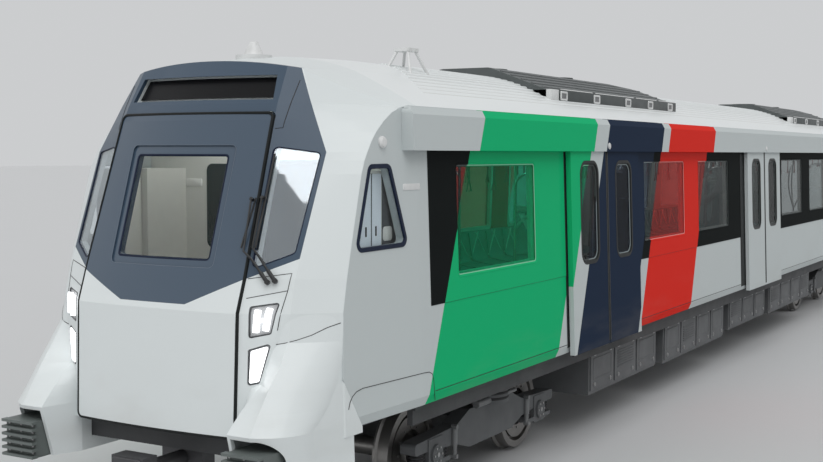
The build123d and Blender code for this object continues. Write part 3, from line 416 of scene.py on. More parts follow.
FINISHES = {
    "body": coach_paint("body paint", "body_white", WHITE),
    "side": coach_paint("side paint with livery", "body_white", SIDE_WHITE, with_livery=True,
                        gloss=0.07, shine=0.0),
    "hatch": coach_paint("hatch paint", "body_white", WHITE, pattern=hatch_colours, gloss=0.55),
    "mask": coach_paint("mask paint", "mask_slate", SLATE, gloss=0.25),
    # The roof's paint has painted shade along the foot of each flute
    "roof": coach_paint("roof paint", "roof_white", ROOF_WHITE, pattern=roof_colours),
    "band": black_band("window band", "band_black"),
    # Painted highlight on the edges round the panes: a paler ground than the band, and the livery paled by
    # a share
    "band edge": black_band("window band's edge with painted highlight", "band_black", (0.09, 0.10, 0.10), pale=0.35),
    "windscreen": pane_glass("windscreen glass", "clear_glass", (0.98, 0.98, 0.965)),
    "cab glass": pane_glass("cab side glass", "clear_glass", (0.9, 0.94, 0.95), mirror=0.24),
    "side glass": pane_glass("saloon glass", "tinted_glass", (0.27, 0.30, 0.30), with_livery=True,
                             bend=1.08),
    "screen glass": pane_glass("draught screen glass", "clear_glass", (0.9, 0.95, 0.94)),
    "dark glass": plain("dark window", "tinted_glass", (0.02, 0.035, 0.035), rough=0.12, grain=8.0),
    "display": led_screen("display matrix", "display_black"),
    "lens": glowing("lamp lens", "lamp_lens", (1.0, 1.0, 1.0), 2.2),
    "glow": glowing("ceiling light", "lamp_lens", (1.0, 0.99, 0.95), 3.0),
    "cab glow": glowing("cab ceiling light", "lamp_lens", (0.97, 1.0, 0.97), 4.0),
    "lamp housing": plain("lamp housing", "lamp_lens", (0.42, 0.43, 0.44), rough=0.3),
    "lamp bezel": plain("lamp bezel", "lamp_lens", (0.035, 0.038, 0.042), rough=0.3),
    "glazing rubber": plain("glazing rubber", "band_black", (0.016, 0.018, 0.018), rough=0.35,
                            grain=160.0, shine=0.1),
    "seam": plain("seam shadow", "band_black", (0.01, 0.011, 0.012), rough=0.6),
    "navy trim": plain("navy trim", "mask_slate", (0.011, 0.018, 0.042), rough=0.3, grain=90.0, shine=0.12),
    "slate trim": plain("slate trim", "mask_slate", (0.13, 0.165, 0.21), rough=0.3, grain=90.0, shine=0.2),
    "wiper": plain("wiper arm paint", "wiper_black", (0.016, 0.017, 0.018), rough=0.45),
    "climber": plain("anti-climber paint", "climber_grey", (0.13, 0.15, 0.145), rough=0.5, grain=60.0),
    "coupler": plain("coupler steel", "coupler_steel", (0.09, 0.09, 0.095), rough=0.5, metal=0.6),
    "unit": plain("roof unit paint", "unit_grey", (0.085, 0.097, 0.098), rough=0.5, grain=50.0),
    "unit rib": plain("roof unit rib", "unit_grey", (0.17, 0.18, 0.185), rough=0.45, grain=60.0),
    "unit panel": plain("roof unit panel", "unit_grey", (0.050, 0.060, 0.060), rough=0.45, grain=60.0),
    "antenna": plain("antenna plastic", "antenna_white", (0.72, 0.73, 0.73), rough=0.35, grain=90.0),
    "case": plain("underfloor case paint", "case_grey", (0.11, 0.115, 0.12), rough=0.6, grain=40.0),
    "underframe": plain("underframe paint", "underframe_grey", (0.055, 0.057, 0.06), rough=0.7, grain=30.0),
    "bogie": plain("bogie paint", "bogie_grey", (0.1, 0.105, 0.11), rough=0.65, grain=30.0),
    "damper": plain("damper paint", "bogie_grey", (0.16, 0.165, 0.17), rough=0.4, grain=80.0),
    "wheel": plain("wheel steel", "wheel_steel", (0.3, 0.29, 0.28), rough=0.4, metal=0.9, grain=45.0),
    "bolt": plain("fastener steel", "wheel_steel", (0.42, 0.42, 0.42), rough=0.35, metal=0.9, grain=80.0),
    "chrome": plain("bright trim", "rail_steel", (0.7, 0.71, 0.72), rough=0.2, metal=1.0, depth=0.00005),
    "rail": plain("grab rail steel", "rail_steel", (0.6, 0.6, 0.61), rough=0.25, metal=1.0, depth=0.00005),
    "rubber": plain("bellows rubber", "bellows_rubber", (0.02, 0.02, 0.022), rough=0.75, grain=160.0),
    "interior": plain("interior panels", "interior_panel", (0.64, 0.65, 0.62), rough=0.45,
                      grain=120.0, spread=0.08),
    "partition": plain("partition board", "interior_panel", (0.77, 0.765, 0.72), grain=120.0, spread=0.06),
    "cab plate": plain("cab plate", "antenna_white", (0.96, 0.95, 0.92), rough=0.35,
                       grain=90.0, spread=0.06),
    "locker": plain("locker paint", "interior_panel", (0.84, 0.89, 0.95), rough=0.4,
                    grain=120.0, spread=0.06),
    "floor covering": plain("floor covering", "interior_panel", (0.16, 0.17, 0.18), rough=0.7, grain=300.0),
    "seat": plain("seat shell", "seat_plastic", (0.04, 0.20, 0.21), rough=0.4, grain=150.0),
    "strap": plain("hanging strap", "seat_plastic", (0.34, 0.03, 0.03), rough=0.45, grain=120.0),
    "desk": plain("desk moulding", "desk_grey", (0.09, 0.095, 0.1), rough=0.6, grain=200.0),
}

# Which CAD nodes carry which finish. The doors, bogies and wheelsets go by the start of their names.
NODE_FINISH = {
    "cab_shell": "body", "cab_mask": "mask", "nose_hatch": "hatch", "windscreen": "windscreen",
    "destination_display": "display", "headlamps": "lamp housing", "anticlimbers": "climber",
    "side_wall_right": "side", "side_wall_left": "side", "window_bands": "band",
    "side_glazing": "side glass", "cab_glazing": "cab glass", "cantrail_covers": "side",
    "roof_shell": "roof", "ceiling": "interior", "underframe": "underframe", "rear_end_wall": "body",
    "gangway": "rubber", "couplers": "coupler", "roof_units": "unit", "roof_antennas": "antenna",
    "underfloor_cases": "case", "cab_partition": "partition", "driver_desk": "desk", "seats": "seat",
    "grab_rails": "rail", "wipers": "wiper",
}
FAMILY_FINISH = {"door_pane": "side glass", "door": "side", "bogie": "bogie", "wheelset": "wheel"}


def finish_of(node_name):
    for start, finish in FAMILY_FINISH.items():
        if node_name.startswith(start):
            return FINISHES[finish]
    return FINISHES[NODE_FINISH[node_name]]


for node_name, node in nodes.items():
    node.data.materials.clear()
    node.data.materials.append(finish_of(node_name).material)


# Mesh building

def turns(sides):
    return [2 * math.pi * i / sides for i in range(sides)]


def rectangle(a_low, a_high, b_low, b_high):
    return [(a_low, b_low), (a_high, b_low), (a_high, b_high), (a_low, b_high)]


def circle(a, b, radius, sides=24):
    return [(a + radius * math.cos(t), b + radius * math.sin(t)) for t in turns(sides)]


def rounded(corners, radius, steps=5):
    """A closed anticlockwise outline with its corners rounded."""
    corners = [Vector(c) for c in corners]
    if sum(a.cross(b) for a, b in zip(corners, corners[1:] + corners[:1])) < 0:
        corners.reverse()
    outline = []
    for i, corner in enumerate(corners):
        before = (corners[i - 1] - corner).normalized()
        after = (corners[(i + 1) % len(corners)] - corner).normalized()
        half = before.angle(after) / 2
        centre = corner + (before + after).normalized() * radius / math.sin(half)
        start = corner + before * radius / math.tan(half) - centre
        end = corner + after * radius / math.tan(half) - centre
        outline += [tuple(centre + start.slerp(end, k / steps) * radius) for k in range(steps + 1)]
    return outline


def inset(outline, distance):
    """An anticlockwise outline moved inwards."""
    moved = []
    for i, here in enumerate(outline):
        here = Vector(here)
        first = (here - Vector(outline[i - 1])).normalized()
        second = (Vector(outline[(i + 1) % len(outline)]) - here).normalized()
        across = Vector((-first.y - second.y, first.x + second.x)).normalized()
        mitre = max(0.5, across.dot(Vector((-first.y, first.x))))
        moved.append(tuple(here + across * distance / mitre))
    return moved


def fine(points, step, loop=False):
    """Points put in along straight stretches, no more than a step apart."""
    ends = [Vector(p) for p in points]
    pairs = list(zip(ends, ends[1:] + ends[:1]))
    if not loop:
        pairs.pop()
    filled = []
    for here, there in pairs:
        count = max(1, math.ceil((there - here).length / step))
        filled += [tuple(here.lerp(there, k / count)) for k in range(count)]
    return filled if loop else filled + [tuple(ends[-1])]


class Piece:
    """A mesh put together from plain forms; place turns a form's own three numbers into a point."""

    def __init__(self, place=at):
        self.mesh = bmesh.new()
        self.place = place

    def add(self, points, faces):
        made = [self.mesh.verts.new(self.place(*p)) for p in points]
        for face in faces:
            self.mesh.faces.new([made[i] for i in face])

    def box(self, low, high, bevel=0.0):
        made = bmesh.new()
        bmesh.ops.create_cube(made, size=1.0)
        for vert in made.verts:
            vert.co = Vector([(a + b) / 2 + c * (b - a) for a, b, c in zip(low, high, vert.co)])
        if bevel:
            bmesh.ops.bevel(made, geom=made.edges[:], offset=bevel, segments=2, profile=0.5, affect="EDGES")
        made.verts.index_update()
        self.add([v.co.copy() for v in made.verts], [[v.index for v in f.verts] for f in made.faces])
        made.free()

    def skin(self, rows, around=True, loop=False):
        """Faces between rows of points. around closes each row, loop joins the last row to the first."""
        count = len(rows[0])
        faces = []
        for r in range(len(rows) if loop else len(rows) - 1):
            here, there = r * count, (r + 1) % len(rows) * count
            for i in range(count if around else count - 1):
                j = (i + 1) % count
                faces.append((here + i, here + j, there + j, there + i))
        if around and not loop:
            faces.append(range(count))
            faces.append(range((len(rows) - 1) * count, len(rows) * count))
        self.add([p for row in rows for p in row], faces)

    def ring(self, outline, section):
        """A moulding round an outline, from its section's (inset, out) pairs."""
        self.skin([[(*p, out) for p in inset(outline, by)] for by, out in section], loop=True)

    def plate(self, outline, levels):
        """A solid on an outline, with one (inset, out) pair for each level."""
        self.skin([[(*p, out) for p in inset(outline, by)] for by, out in levels])

    def bar(self, path, radius, sides=10, loop=False):
        """A round bar along points."""
        path = [Vector(p) for p in path]
        rows = []
        side = None
        for i, point in enumerate(path):
            before = path[i - 1] if i or loop else point
            after = path[(i + 1) % len(path)] if i + 1 < len(path) or loop else point
            along = (after - before).normalized()
            side = along.orthogonal() if side is None else side - along * side.dot(along)
            side.normalize()
            other = along.cross(side)
            rows.append([point + (side * math.cos(t) + other * math.sin(t)) * radius for t in turns(sides)])
        self.skin(rows, loop=loop)

    def done(self, name, finish, body="car_body", sharp=35.0):
        bmesh.ops.recalc_face_normals(self.mesh, faces=self.mesh.faces)
        mesh = bpy.data.meshes.new(name)
        self.mesh.to_mesh(mesh)
        self.mesh.free()
        mesh.shade_smooth()
        mesh.set_sharp_from_angle(angle=math.radians(sharp))
        mesh.materials.append(FINISHES[finish].material)
        piece = bpy.data.objects.new(name, mesh)
        bpy.context.scene.collection.objects.link(piece)
        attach(piece, body)
        return piece


# The nose between the hatch seams. Columns: height, station at the seam, bow at the middle.
NOSE_ROWS = ((0.60, 0.235, 0.045), (1.90, 0.277, 0.045), (2.14, 0.360, 0.060), (3.04, 0.669, 0.095),
             (3.276, 0.752, 0.100), (3.40, 0.809, 0.100), (3.90, 1.090, 0.100))
SEAM_X = 0.757
HATCH_PROUD = 0.012


def on_hatch(x, height, out):
    """Places (x, height, out) points on the hatch."""
    low, high = [pair for pair in zip(NOSE_ROWS, NOSE_ROWS[1:]) if pair[0][0] <= height][-1]
    share = (height - low[0]) / (high[0] - low[0])
    slope = (high[1] - low[1]) / (high[0] - low[0])
    seam, bow = (a + share * (b - a) for a, b in zip(low[1:], high[1:]))
    lift = out / math.hypot(1.0, slope)
    return at(x, seam - bow * (1 - (x / SEAM_X) ** 2) - HATCH_PROUD - lift, height + lift * slope)


CAST_REACH = 2.7
ASIDE = 0.02


def cast_on(*names):
    """Places (x, height, out) points on CAD nodes as the front shows them, out along their surface.

    A point that falls in a gap between the nodes goes onto the surface beside the gap."""
    corners = []
    faces = []
    for name in names:
        mesh = nodes[name].data
        faces += [[len(corners) + i for i in f.vertices] for f in mesh.polygons]
        corners += [v.co.copy() for v in mesh.vertices]
    tree = BVHTree.FromPolygons(corners, faces)

    def place(x, height, out):
        for aside in (0.0, -ASIDE, ASIDE):
            start = at(x + aside, -1.0, height)
            point, normal = tree.ray_cast(start, Vector((0, 1, 0)), CAST_REACH)[:2]
            if point is not None:
                break
        if normal.y > 0:
            normal = -normal
        return point - Vector((aside, 0, 0)) + normal * out

    return place


def mirrored(points):
    return [(-p[0], *p[1:]) for p in points]


# Body sides

# Columns: first and last station of each saloon window
WINDOWS = ((2.37, 3.96), (6.99, 8.54), (9.10, 10.56), (13.69, 15.24), (15.80, 17.26), (20.40, 21.70))
WINDOW_HEIGHTS = (2.015, 2.95)
WINDOW_CORNER = 0.045
BAND_BOTTOM = 1.826
DOOR_TOP = 3.05
OPENING_HALF = 0.88
LEAF_NOSE = 0.006
LEAF_BOTTOM = 1.03
LEAF_TOP = 3.13
LEAF_BACK = 0.014
PANE_MARGIN = 0.262
LEAF_PANE_HEIGHTS = (1.935, 2.935)
LEAF_PANE_CORNER = 0.12
# Corners of the cab's side window. Columns: station, height.
TRIANGLE = ((0.912, 2.337), (1.548, 2.345), (1.345, 2.928), (1.100, 2.925))
TRIANGLE_CORNER = 0.04

# Moulding sections: (inset, out) pairs round the section
GASKET = ((-0.009, 0.003), (-0.006, 0.0065), (0.003, 0.0065), (0.012, -0.003), (0.012, -0.009),
          (-0.002, -0.009))
BEVEL = ((0.0125, -0.004), (0.0125, -0.0025), (0.021, -0.005), (0.021, -0.0075), (0.0125, -0.0075))
INNER_FRAME = ((-0.02, -0.082), (-0.02, -0.026), (0.012, -0.026), (0.03, -0.05), (0.03, -0.082))
LEAF_GASKET = ((-0.028, 0.063), (-0.025, 0.067), (0.002, 0.067), (0.016, 0.052), (0.016, 0.046),
               (-0.004, 0.046))
LEAF_BEVEL = ((0.0165, 0.047), (0.0165, 0.053), (0.026, 0.05), (0.026, 0.046))
TRIANGLE_FRAME = ((-0.028, 0.0), (-0.025, 0.006), (0.003, 0.007), (0.008, 0.0), (0.008, -0.0075),
                  (-0.002, -0.0075))
WINDOW_MOULDINGS = (("bevels", BEVEL, "band edge"), ("gaskets", GASKET, "band"),
                    ("inner_frames", INNER_FRAME, "interior"))


def windows_of(side, sign):
    """Mouldings of the saloon windows and the frame of the cab's side window."""
    outlines = [rounded(rectangle(*ends, *WINDOW_HEIGHTS), WINDOW_CORNER) for ends in WINDOWS]
    for name, section, finish in WINDOW_MOULDINGS:
        mouldings = Piece(on_side(sign))
        for outline in outlines:
            mouldings.ring(outline, section)
        mouldings.done(f"window_{name}_{side}", finish)
    triangle = Piece(on_side(sign))
    triangle.ring(rounded(TRIANGLE, TRIANGLE_CORNER, 8), TRIANGLE_FRAME)
    triangle.done(f"cab_window_frame_{side}", "navy trim")


# Black strips down the joints of the side modules. Columns: first and last station.
PILLAR_STRIPS = ((4.645, 4.782), (11.16, 11.43), (13.27, 13.41), (17.87, 18.12), (19.97, 20.11))
STRIP_FOOT = SILL + 0.06
STRIP_OUT = 0.0065
SEAM_RADIUS = 0.0028
# Level seams along the side. Columns: height, station where it starts behind the cab.
LEVEL_SEAMS = ((BAND_BOTTOM, 1.91), (1.14, 1.93))
SEAM_STARTS = (6.57, 13.27, 19.97)
SEAM_ENDS = (4.77, 11.45, 18.15, 22.39)
# Upper edge of the flap at the cab's sill. Columns: station, height.
SILL_FLAP = ((0.74, 1.20), (0.76, 1.25), (0.79, 1.285), (0.84, 1.312), (0.92, 1.325), (CAB_END, 1.312),
             (1.84, 1.305), (1.885, 1.285), (1.905, 1.24), (1.92, 1.07))


def pillars_of(side, sign):
    """Black strips over the joints of the side, and the seams round its panels."""
    strips = Piece(on_side(sign))
    joints = Piece(on_side(sign))
    for start, end in PILLAR_STRIPS:
        strips.box((start, STRIP_FOOT, 0.0), (end, DOOR_TOP, STRIP_OUT), 0.002)
        for edge in (start, end):
            joints.bar(((edge, STRIP_FOOT, STRIP_OUT), (edge, DOOR_TOP, STRIP_OUT)), 0.003, 6)
    for height, first in LEVEL_SEAMS:
        for low, high in zip((first, *SEAM_STARTS), SEAM_ENDS):
            joints.bar(((low, height, 0.001), (high, height, 0.001)), SEAM_RADIUS, 6)
    joints.bar([(*point, 0.0005) for point in SILL_FLAP], SEAM_RADIUS, 6)
    strips.done(f"pillar_strips_{side}", "glazing rubber")
    joints.done(f"side_joints_{side}", "seam")


SIDE_PLATE = (1.53, 1.77, 2.75, 2.80)
SCREW_MARGIN = 0.015


def blank_plate(side, sign):
    """The small raised plate behind the cab window, with nothing on it but its two screws."""
    start, end, low, high = SIDE_PLATE
    plate = Piece(on_side(sign))
    plate.plate(rounded(rectangle(*SIDE_PLATE), 0.012), ((0.0, -0.002), (0.0, 0.004), (0.004, 0.006)))
    for station in (start + SCREW_MARGIN, end - SCREW_MARGIN):
        plate.plate(circle(station, (low + high) / 2, 0.006, 12),
                    ((0.0, 0.006), (0.0, 0.008), (0.002, 0.009)))
    plate.done(f"side_plate_{side}", "antenna")


TREADS = 5
TREAD_PITCH = 0.015
DOOR_LAMP_HEIGHT = 3.112
# Station and height of the lamp on the cab's side
CAB_LAMP = (1.259, 3.116)


def doorways_of(side, sign):
    """A ribbed threshold, rubbers up both sides and a lamp over each doorway, and the lamp on the cab."""
    thresholds = Piece(on_side(sign))
    reveals = Piece(on_side(sign))
    lamps = Piece(on_side(sign))
    for centre in DOORWAYS:
        low, high = centre - OPENING_HALF, centre + OPENING_HALF
        thresholds.box((low + 0.002, FLOOR - 0.025, -0.085), (high - 0.002, FLOOR + 0.004, 0.008), 0.002)
        for tread in range(TREADS):
            out = -0.07 + tread * TREAD_PITCH
            thresholds.box((low + 0.01, FLOOR + 0.003, out),
                           (high - 0.01, FLOOR + 0.0065, out + TREAD_PITCH - 0.008), 0.001)
        for near, far in ((low, low + 0.012), (high - 0.012, high)):
            reveals.box((near, FLOOR, -0.078), (far, DOOR_TOP, 0.0085), 0.003)
        lamps.plate(circle(centre, DOOR_LAMP_HEIGHT, 0.034), ((0.0, 0.09), (0.0, 0.104), (0.006, 0.108)))
    lamps.plate(circle(*CAB_LAMP, 0.045), ((0.0, -0.01), (0.0, 0.012), (0.012, 0.028), (0.034, 0.033)))
    thresholds.done(f"door_thresholds_{side}", "chrome")
    reveals.done(f"door_reveal_rubbers_{side}", "glazing rubber")
    lamps.done(f"side_lamps_{side}", "antenna")


def leaf_trim(side, sign, leaf, start, end, nose, hinge_way):
    """Gasket and edge of a leaf's pane, the edge with a painted highlight, and the rubbers on the leaf's
    nose and foot.
    """
    outline = rounded(rectangle(start + PANE_MARGIN, end - PANE_MARGIN, *LEAF_PANE_HEIGHTS),
                      LEAF_PANE_CORNER, 8)
    bevel = Piece(on_side(sign))
    bevel.ring(outline, LEAF_BEVEL)
    bevel.done(f"leaf_pane_edge_{side}_{leaf}", "band edge", f"door_{side}_{leaf}")
    rubbers = Piece(on_side(sign))
    rubbers.ring(outline, LEAF_GASKET)
    low, high = sorted((nose - hinge_way * 0.002, nose + hinge_way * 0.03))
    rubbers.box((low, LEAF_BOTTOM + 0.03, LEAF_BACK - 0.001), (high, LEAF_TOP - 0.004, LEAF_OUT + 0.001),
                0.002)
    rubbers.box((start + 0.01, LEAF_BOTTOM - 0.012, 0.03), (end - 0.01, LEAF_BOTTOM + 0.012, 0.05), 0.003)
    rubbers.done(f"leaf_rubbers_{side}_{leaf}", "glazing rubber", f"door_{side}_{leaf}")


def leaves_of(side, sign):
    for number, centre in enumerate(DOORWAYS, start=1):
        front = (centre - LEAF_WIDTH, centre - LEAF_NOSE)
        rear = (centre + LEAF_NOSE, centre + LEAF_NOSE + LEAF_WIDTH)
        leaf_trim(side, sign, f"{number}_front", *front, nose=front[1], hinge_way=-1)
        leaf_trim(side, sign, f"{number}_rear", *rear, nose=rear[0], hinge_way=1)


for side, sign in SIDES.items():
    windows_of(side, sign)
    pillars_of(side, sign)
    blank_plate(side, sign)
    doorways_of(side, sign)
    leaves_of(side, sign)


# Nose, right half. Columns of the outlines: x, height.

WINDSCREEN = ((0.440, 2.262), (0.440, 3.024))
RECESS = ((0.492, 2.206), (0.500, 3.090))
RECESS_FLOOR = -0.014
HATCH_SIDE = ((0.757, 1.011), (0.766, 2.139), (0.732, 3.331))
QUARTER_PANE = ((0.796, 2.211), (1.052, 2.322), (1.080, 3.034), (0.776, 3.078))
PANE_CORNER = 0.03
UPPER_LAMP = ((0.829, 1.724), (0.975, 1.757), (1.020, 1.982), (0.829, 1.951))
LOWER_LAMP = ((0.826, 1.389), (0.905, 1.407), (0.978, 1.696), (0.829, 1.646))
LAMP_CORNER = 0.018
# The light bars of the upper lamp, by their share across it, and the lit part of the lower one, by its
# shares across and up
LIGHT_BARS = (0.3, 0.7)
LIGHT_PANEL = rectangle(0.12, 0.88, 0.06, 0.94)
LIGHT_OUT = 0.014

WINDSCREEN_SEAL = ((-0.005, RECESS_FLOOR), (-0.003, RECESS_FLOOR + 0.003), (0.005, RECESS_FLOOR + 0.003),
                   (0.012, RECESS_FLOOR - 0.004), (0.012, RECESS_FLOOR - 0.007),
                   (-0.002, RECESS_FLOOR - 0.007))
HATCH_RUBBER = ((-0.0065, -0.05), (-0.0065, 0.002), (-0.001, 0.006), (0.01, 0.003), (0.012, -0.001),
                (0.001, -0.05))
RECESS_LIP = ((-0.003, 0.0), (-0.0025, 0.001), (0.0, 0.001), (0.0015, 0.0))
PANE_FRAME = ((-0.006, 0.0), (-0.005, 0.003), (-0.001, 0.003), (0.004, 0.001), (0.004, -0.001))
LAMP_BEZEL = ((0.001, -0.002), (0.001, 0.006), (0.007, 0.009), (0.012, 0.004), (0.012, -0.002))
# Columns: name, outline, corner radius, longest step, section, finish
HATCH_MOULDINGS = (
    ("windscreen_seal", WINDSCREEN, 0.03, 0.06, WINDSCREEN_SEAL, "navy trim"),
    ("hatch_edge_rubber", HATCH_SIDE, 0.045, 0.08, HATCH_RUBBER, "glazing rubber"),
    ("windscreen_recess_lip", RECESS, 0.04, 0.06, RECESS_LIP, "slate trim"),
)


def share_point(corners, across, up):
    """A point inside four corners (bottom inner, bottom outer, top outer, top inner)."""
    a, b, c, d = (Vector(p) for p in corners)
    return tuple(a.lerp(b, across).lerp(d.lerp(c, across), up))


def symmetric(points):
    return list(points) + mirrored(points[::-1])


def hatch_trim():
    for name, outline, corner, step, section, finish in HATCH_MOULDINGS:
        moulding = Piece(on_hatch)
        moulding.ring(fine(rounded(symmetric(outline), corner), step, loop=True), section)
        moulding.done(name, finish, "front_hatch")


def quarter_pane_trim():
    frames = Piece(cast_on("cab_mask", "cab_glazing"))
    for turn in (list, mirrored):
        frames.ring(fine(rounded(turn(QUARTER_PANE), PANE_CORNER), 0.06, loop=True), PANE_FRAME)
    frames.done("quarter_pane_frames", "navy trim")


def lamp_trim():
    """Bezels, with two light bars and a bridge in the upper lamp and a flat light in the lower one."""
    bezels = Piece(cast_on("headlamps"))
    lights = Piece(bezels.place)
    for turn in (list, mirrored):
        for corners in (UPPER_LAMP, LOWER_LAMP):
            bezels.ring(fine(rounded(turn(corners), LAMP_CORNER), 0.03, loop=True), LAMP_BEZEL)
        for across in LIGHT_BARS:
            ends = [share_point(UPPER_LAMP, across, up) for up in (0.16, 0.84)]
            lights.bar([(*p, LIGHT_OUT) for p in fine(turn(ends), 0.04)], 0.022)
        ends = [share_point(UPPER_LAMP, across, 0.5) for across in LIGHT_BARS]
        lights.bar([(*p, LIGHT_OUT) for p in turn(ends)], 0.013)
        panel = [share_point(LOWER_LAMP, *shares) for shares in LIGHT_PANEL]
        lights.plate(fine(rounded(turn(panel), 0.012), 0.03, loop=True),
                     ((0.0, 0.0), (0.0, 0.012), (0.006, 0.016)))
    bezels.done("lamp_bezels", "lamp bezel")
    lights.done("lamp_lights", "lens")


# Each wiper's arm, from its pivot over the elbow to the top, and its blade.
# Columns: x, height, distance out from the nose.
WIPERS = (
    (((0.917, 2.116, 0.03), (0.744, 2.322, 0.05), (0.719, 2.689, 0.05)),
     ((0.709, 2.347, 0.03), (0.745, 2.702, 0.03))),
    (((0.966, 2.125, 0.03), (0.78, 2.348, 0.05), (0.774, 2.70, 0.05)),
     ((0.794, 2.349, 0.03), (0.791, 3.017, 0.03))),
)
ARM_RADIUS = 0.0075


def wiper_pair():
    pair = Piece(cast_on("cab_shell", "cab_mask", "nose_hatch", "cab_glazing"))
    for arm, blade in WIPERS:
        pivot, elbow = (Vector(p) for p in arm[:2])
        pair.bar(fine(arm, 0.08), ARM_RADIUS, 8)
        pair.bar(fine((pivot, pivot.lerp(elbow, 0.3)), 0.03), 0.013, 10)
        pair.bar(fine(blade, 0.08), ARM_RADIUS, 8)
        pair.plate(circle(*pivot[:2], 0.017, 16), ((0.0, -0.004), (0.0, 0.04), (0.005, 0.046)))
        pair.plate(circle(*arm[-1][:2], 0.013, 12), ((0.0, 0.02), (0.0, 0.056), (0.004, 0.06)))
    piece = pair.done("wiper_arms_and_blades", "wiper")
    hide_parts("wipers")


# Shut lines on the cab's corners, right side. Columns: x, height.
SHUT_LINES = (
    ((0.784, 2.142), (1.062, 2.182), (1.054, 2.062), (1.013, 1.785)),
    ((0.798, 2.007), (1.054, 2.062)),
    ((1.005, 1.686), (1.070, 1.698), (1.139, 1.719), (1.214, 1.750), (1.290, 1.800), (1.352, 1.828)),
    ((0.815, 3.572), (0.803, 3.218), (0.756, 3.212)),
)


def corner_lines():
    lines = Piece(cast_on("cab_shell", "cab_mask"))
    for points in SHUT_LINES:
        for turn in (list, mirrored):
            lines.bar([(*p, 0.0) for p in fine(turn(points), 0.05)], SEAM_RADIUS, 6)
    lines.done("cab_shut_lines", "seam")


hatch_trim()
quarter_pane_trim()
lamp_trim()
wiper_pair()
corner_lines()


# Inside

# Columns: first and last station of each run of seats
SEAT_RUNS = ((2.25, 4.65), (6.72, 11.30), (13.42, 18.00), (20.12, 22.20))
SEAT_PITCH = 0.46
SEAT_HALF = SEAT_PITCH / 2 - 0.02
# A seat shell's section, once round. Columns: x, height.
SEAT_SECTION = (
    (0.905, 1.565), (1.0, 1.572), (1.2, 1.602), (1.232, 1.63), (1.262, 1.78), (1.285, 1.97), (1.279, 1.985),
    (1.268, 1.97), (1.245, 1.785), (1.218, 1.65), (1.19, 1.622), (1.0, 1.594), (0.905, 1.585))
# How a shell dips between its sides. Columns: share of its half width, dip.
SEAT_DISH = ((-1.0, 0.0), (-0.8, 0.006), (0.0, 0.01), (0.8, 0.006), (1.0, 0.0))
CEILING_LIGHT_X = 0.62
CEILING_LIGHT_HALF = 0.07
COVERING_HALF = 1.33
RAIL_X = 0.86
RAIL_RADIUS = 0.016
OVERHEAD = 2.98
OVERHEAD_X = 0.72
HANGER_START = 2.4
HANGER_PITCH = 2.15
HANGERS = 10
STRAP_START = 2.25
STRAP_PITCH = 0.55
STRAP_DROP = 0.2
GRIP_HALF = 0.05
GRIP_HEIGHT = 0.11
POLE_STATIONS = (3.75, 7.65, 10.2, 14.6, 16.9, 20.9)
# Heights between which a pole opens into three bows, and of the bows' ends, which are let into the pole
POLE_GAP = (FLOOR + 0.75, CEILING - 0.22)
BOW_ENDS = (FLOOR + 0.74, CEILING - 0.21)
BOW_REACH = 0.17
BOW_STEPS = 8
DRAUGHT_X = (0.88, 1.33)
DRAUGHT_HEIGHTS = (FLOOR + 0.35, FLOOR + 1.72)
TUBE_RADIUS = 0.012


def saloon_fittings():
    """The strips of ceiling lights and the covering of the floor."""
    lights = Piece()
    for x in (-CEILING_LIGHT_X, CEILING_LIGHT_X):
        lights.box((x - CEILING_LIGHT_HALF, 2.0, CEILING - 0.03),
                   (x + CEILING_LIGHT_HALF, BODY_END - 0.4, CEILING - 0.002), 0.012)
    lights.done("ceiling_lights", "glow")
    covering = Piece()
    covering.box((-COVERING_HALF, 1.8, FLOOR + 0.0005),
                 (COVERING_HALF, BODY_END - 0.1, FLOOR + 0.004), 0.001)
    covering.done("floor_covering", "floor covering")


def seat_places():
    """Middle station of every seat place."""
    for start, end in SEAT_RUNS:
        count = int((end - start) / SEAT_PITCH)
        for number in range(count):
            yield start + (end - start) * (number + 0.5) / count


def seat_shells(side, sign):
    """A moulded pan and back on each seat place, with pale struts crossed over the back."""
    shells = Piece(lambda station, x, height: at(sign * x, station, height))
    struts = Piece(lambda x, station, height: at(sign * x, station, height))
    for middle in seat_places():
        shells.skin([[(middle + share * SEAT_HALF, x, height - dip) for x, height in SEAT_SECTION]
                     for share, dip in SEAT_DISH])
        for foot, head in ((-SEAT_HALF, SEAT_HALF * 0.2), (SEAT_HALF, -SEAT_HALF * 0.2)):
            struts.bar(((1.238, middle + foot, 1.66), (1.252, middle + (foot + head) / 2, 1.83),
                        (1.268, middle + head, 1.985)), 0.013, 6)
    shells.done(f"seat_shells_{side}", "seat")
    struts.done(f"seat_struts_{side}", "antenna")


def hang_strap(loops, x, station):
    """A strap over the rail and its three-cornered grip."""
    foot = OVERHEAD - STRAP_DROP
    loops.bar(((x, station, OVERHEAD + 0.018), (x, station, foot)), 0.009, 6)
    grip = ((x, station, foot + 0.005), (x, station - GRIP_HALF, foot - GRIP_HEIGHT),
            (x, station + GRIP_HALF, foot - GRIP_HEIGHT))
    loops.bar(grip, 0.008, 6, loop=True)


def three_bow_pole(rails, station):
    """A pole that parts into three bows between its foot and its head."""
    foot, head = BOW_ENDS
    rails.bar(((0, station, FLOOR), (0, station, POLE_GAP[0])), RAIL_RADIUS)
    rails.bar(((0, station, POLE_GAP[1]), (0, station, CEILING)), RAIL_RADIUS)
    for turn in turns(3):
        bow = []
        for step in range(BOW_STEPS + 1):
            reach = BOW_REACH * math.sin(math.pi * step / BOW_STEPS)
            bow.append((reach * math.cos(turn), station + reach * math.sin(turn),
                        foot + step * (head - foot) / BOW_STEPS))
        rails.bar(bow, RAIL_RADIUS * 0.9, 8)


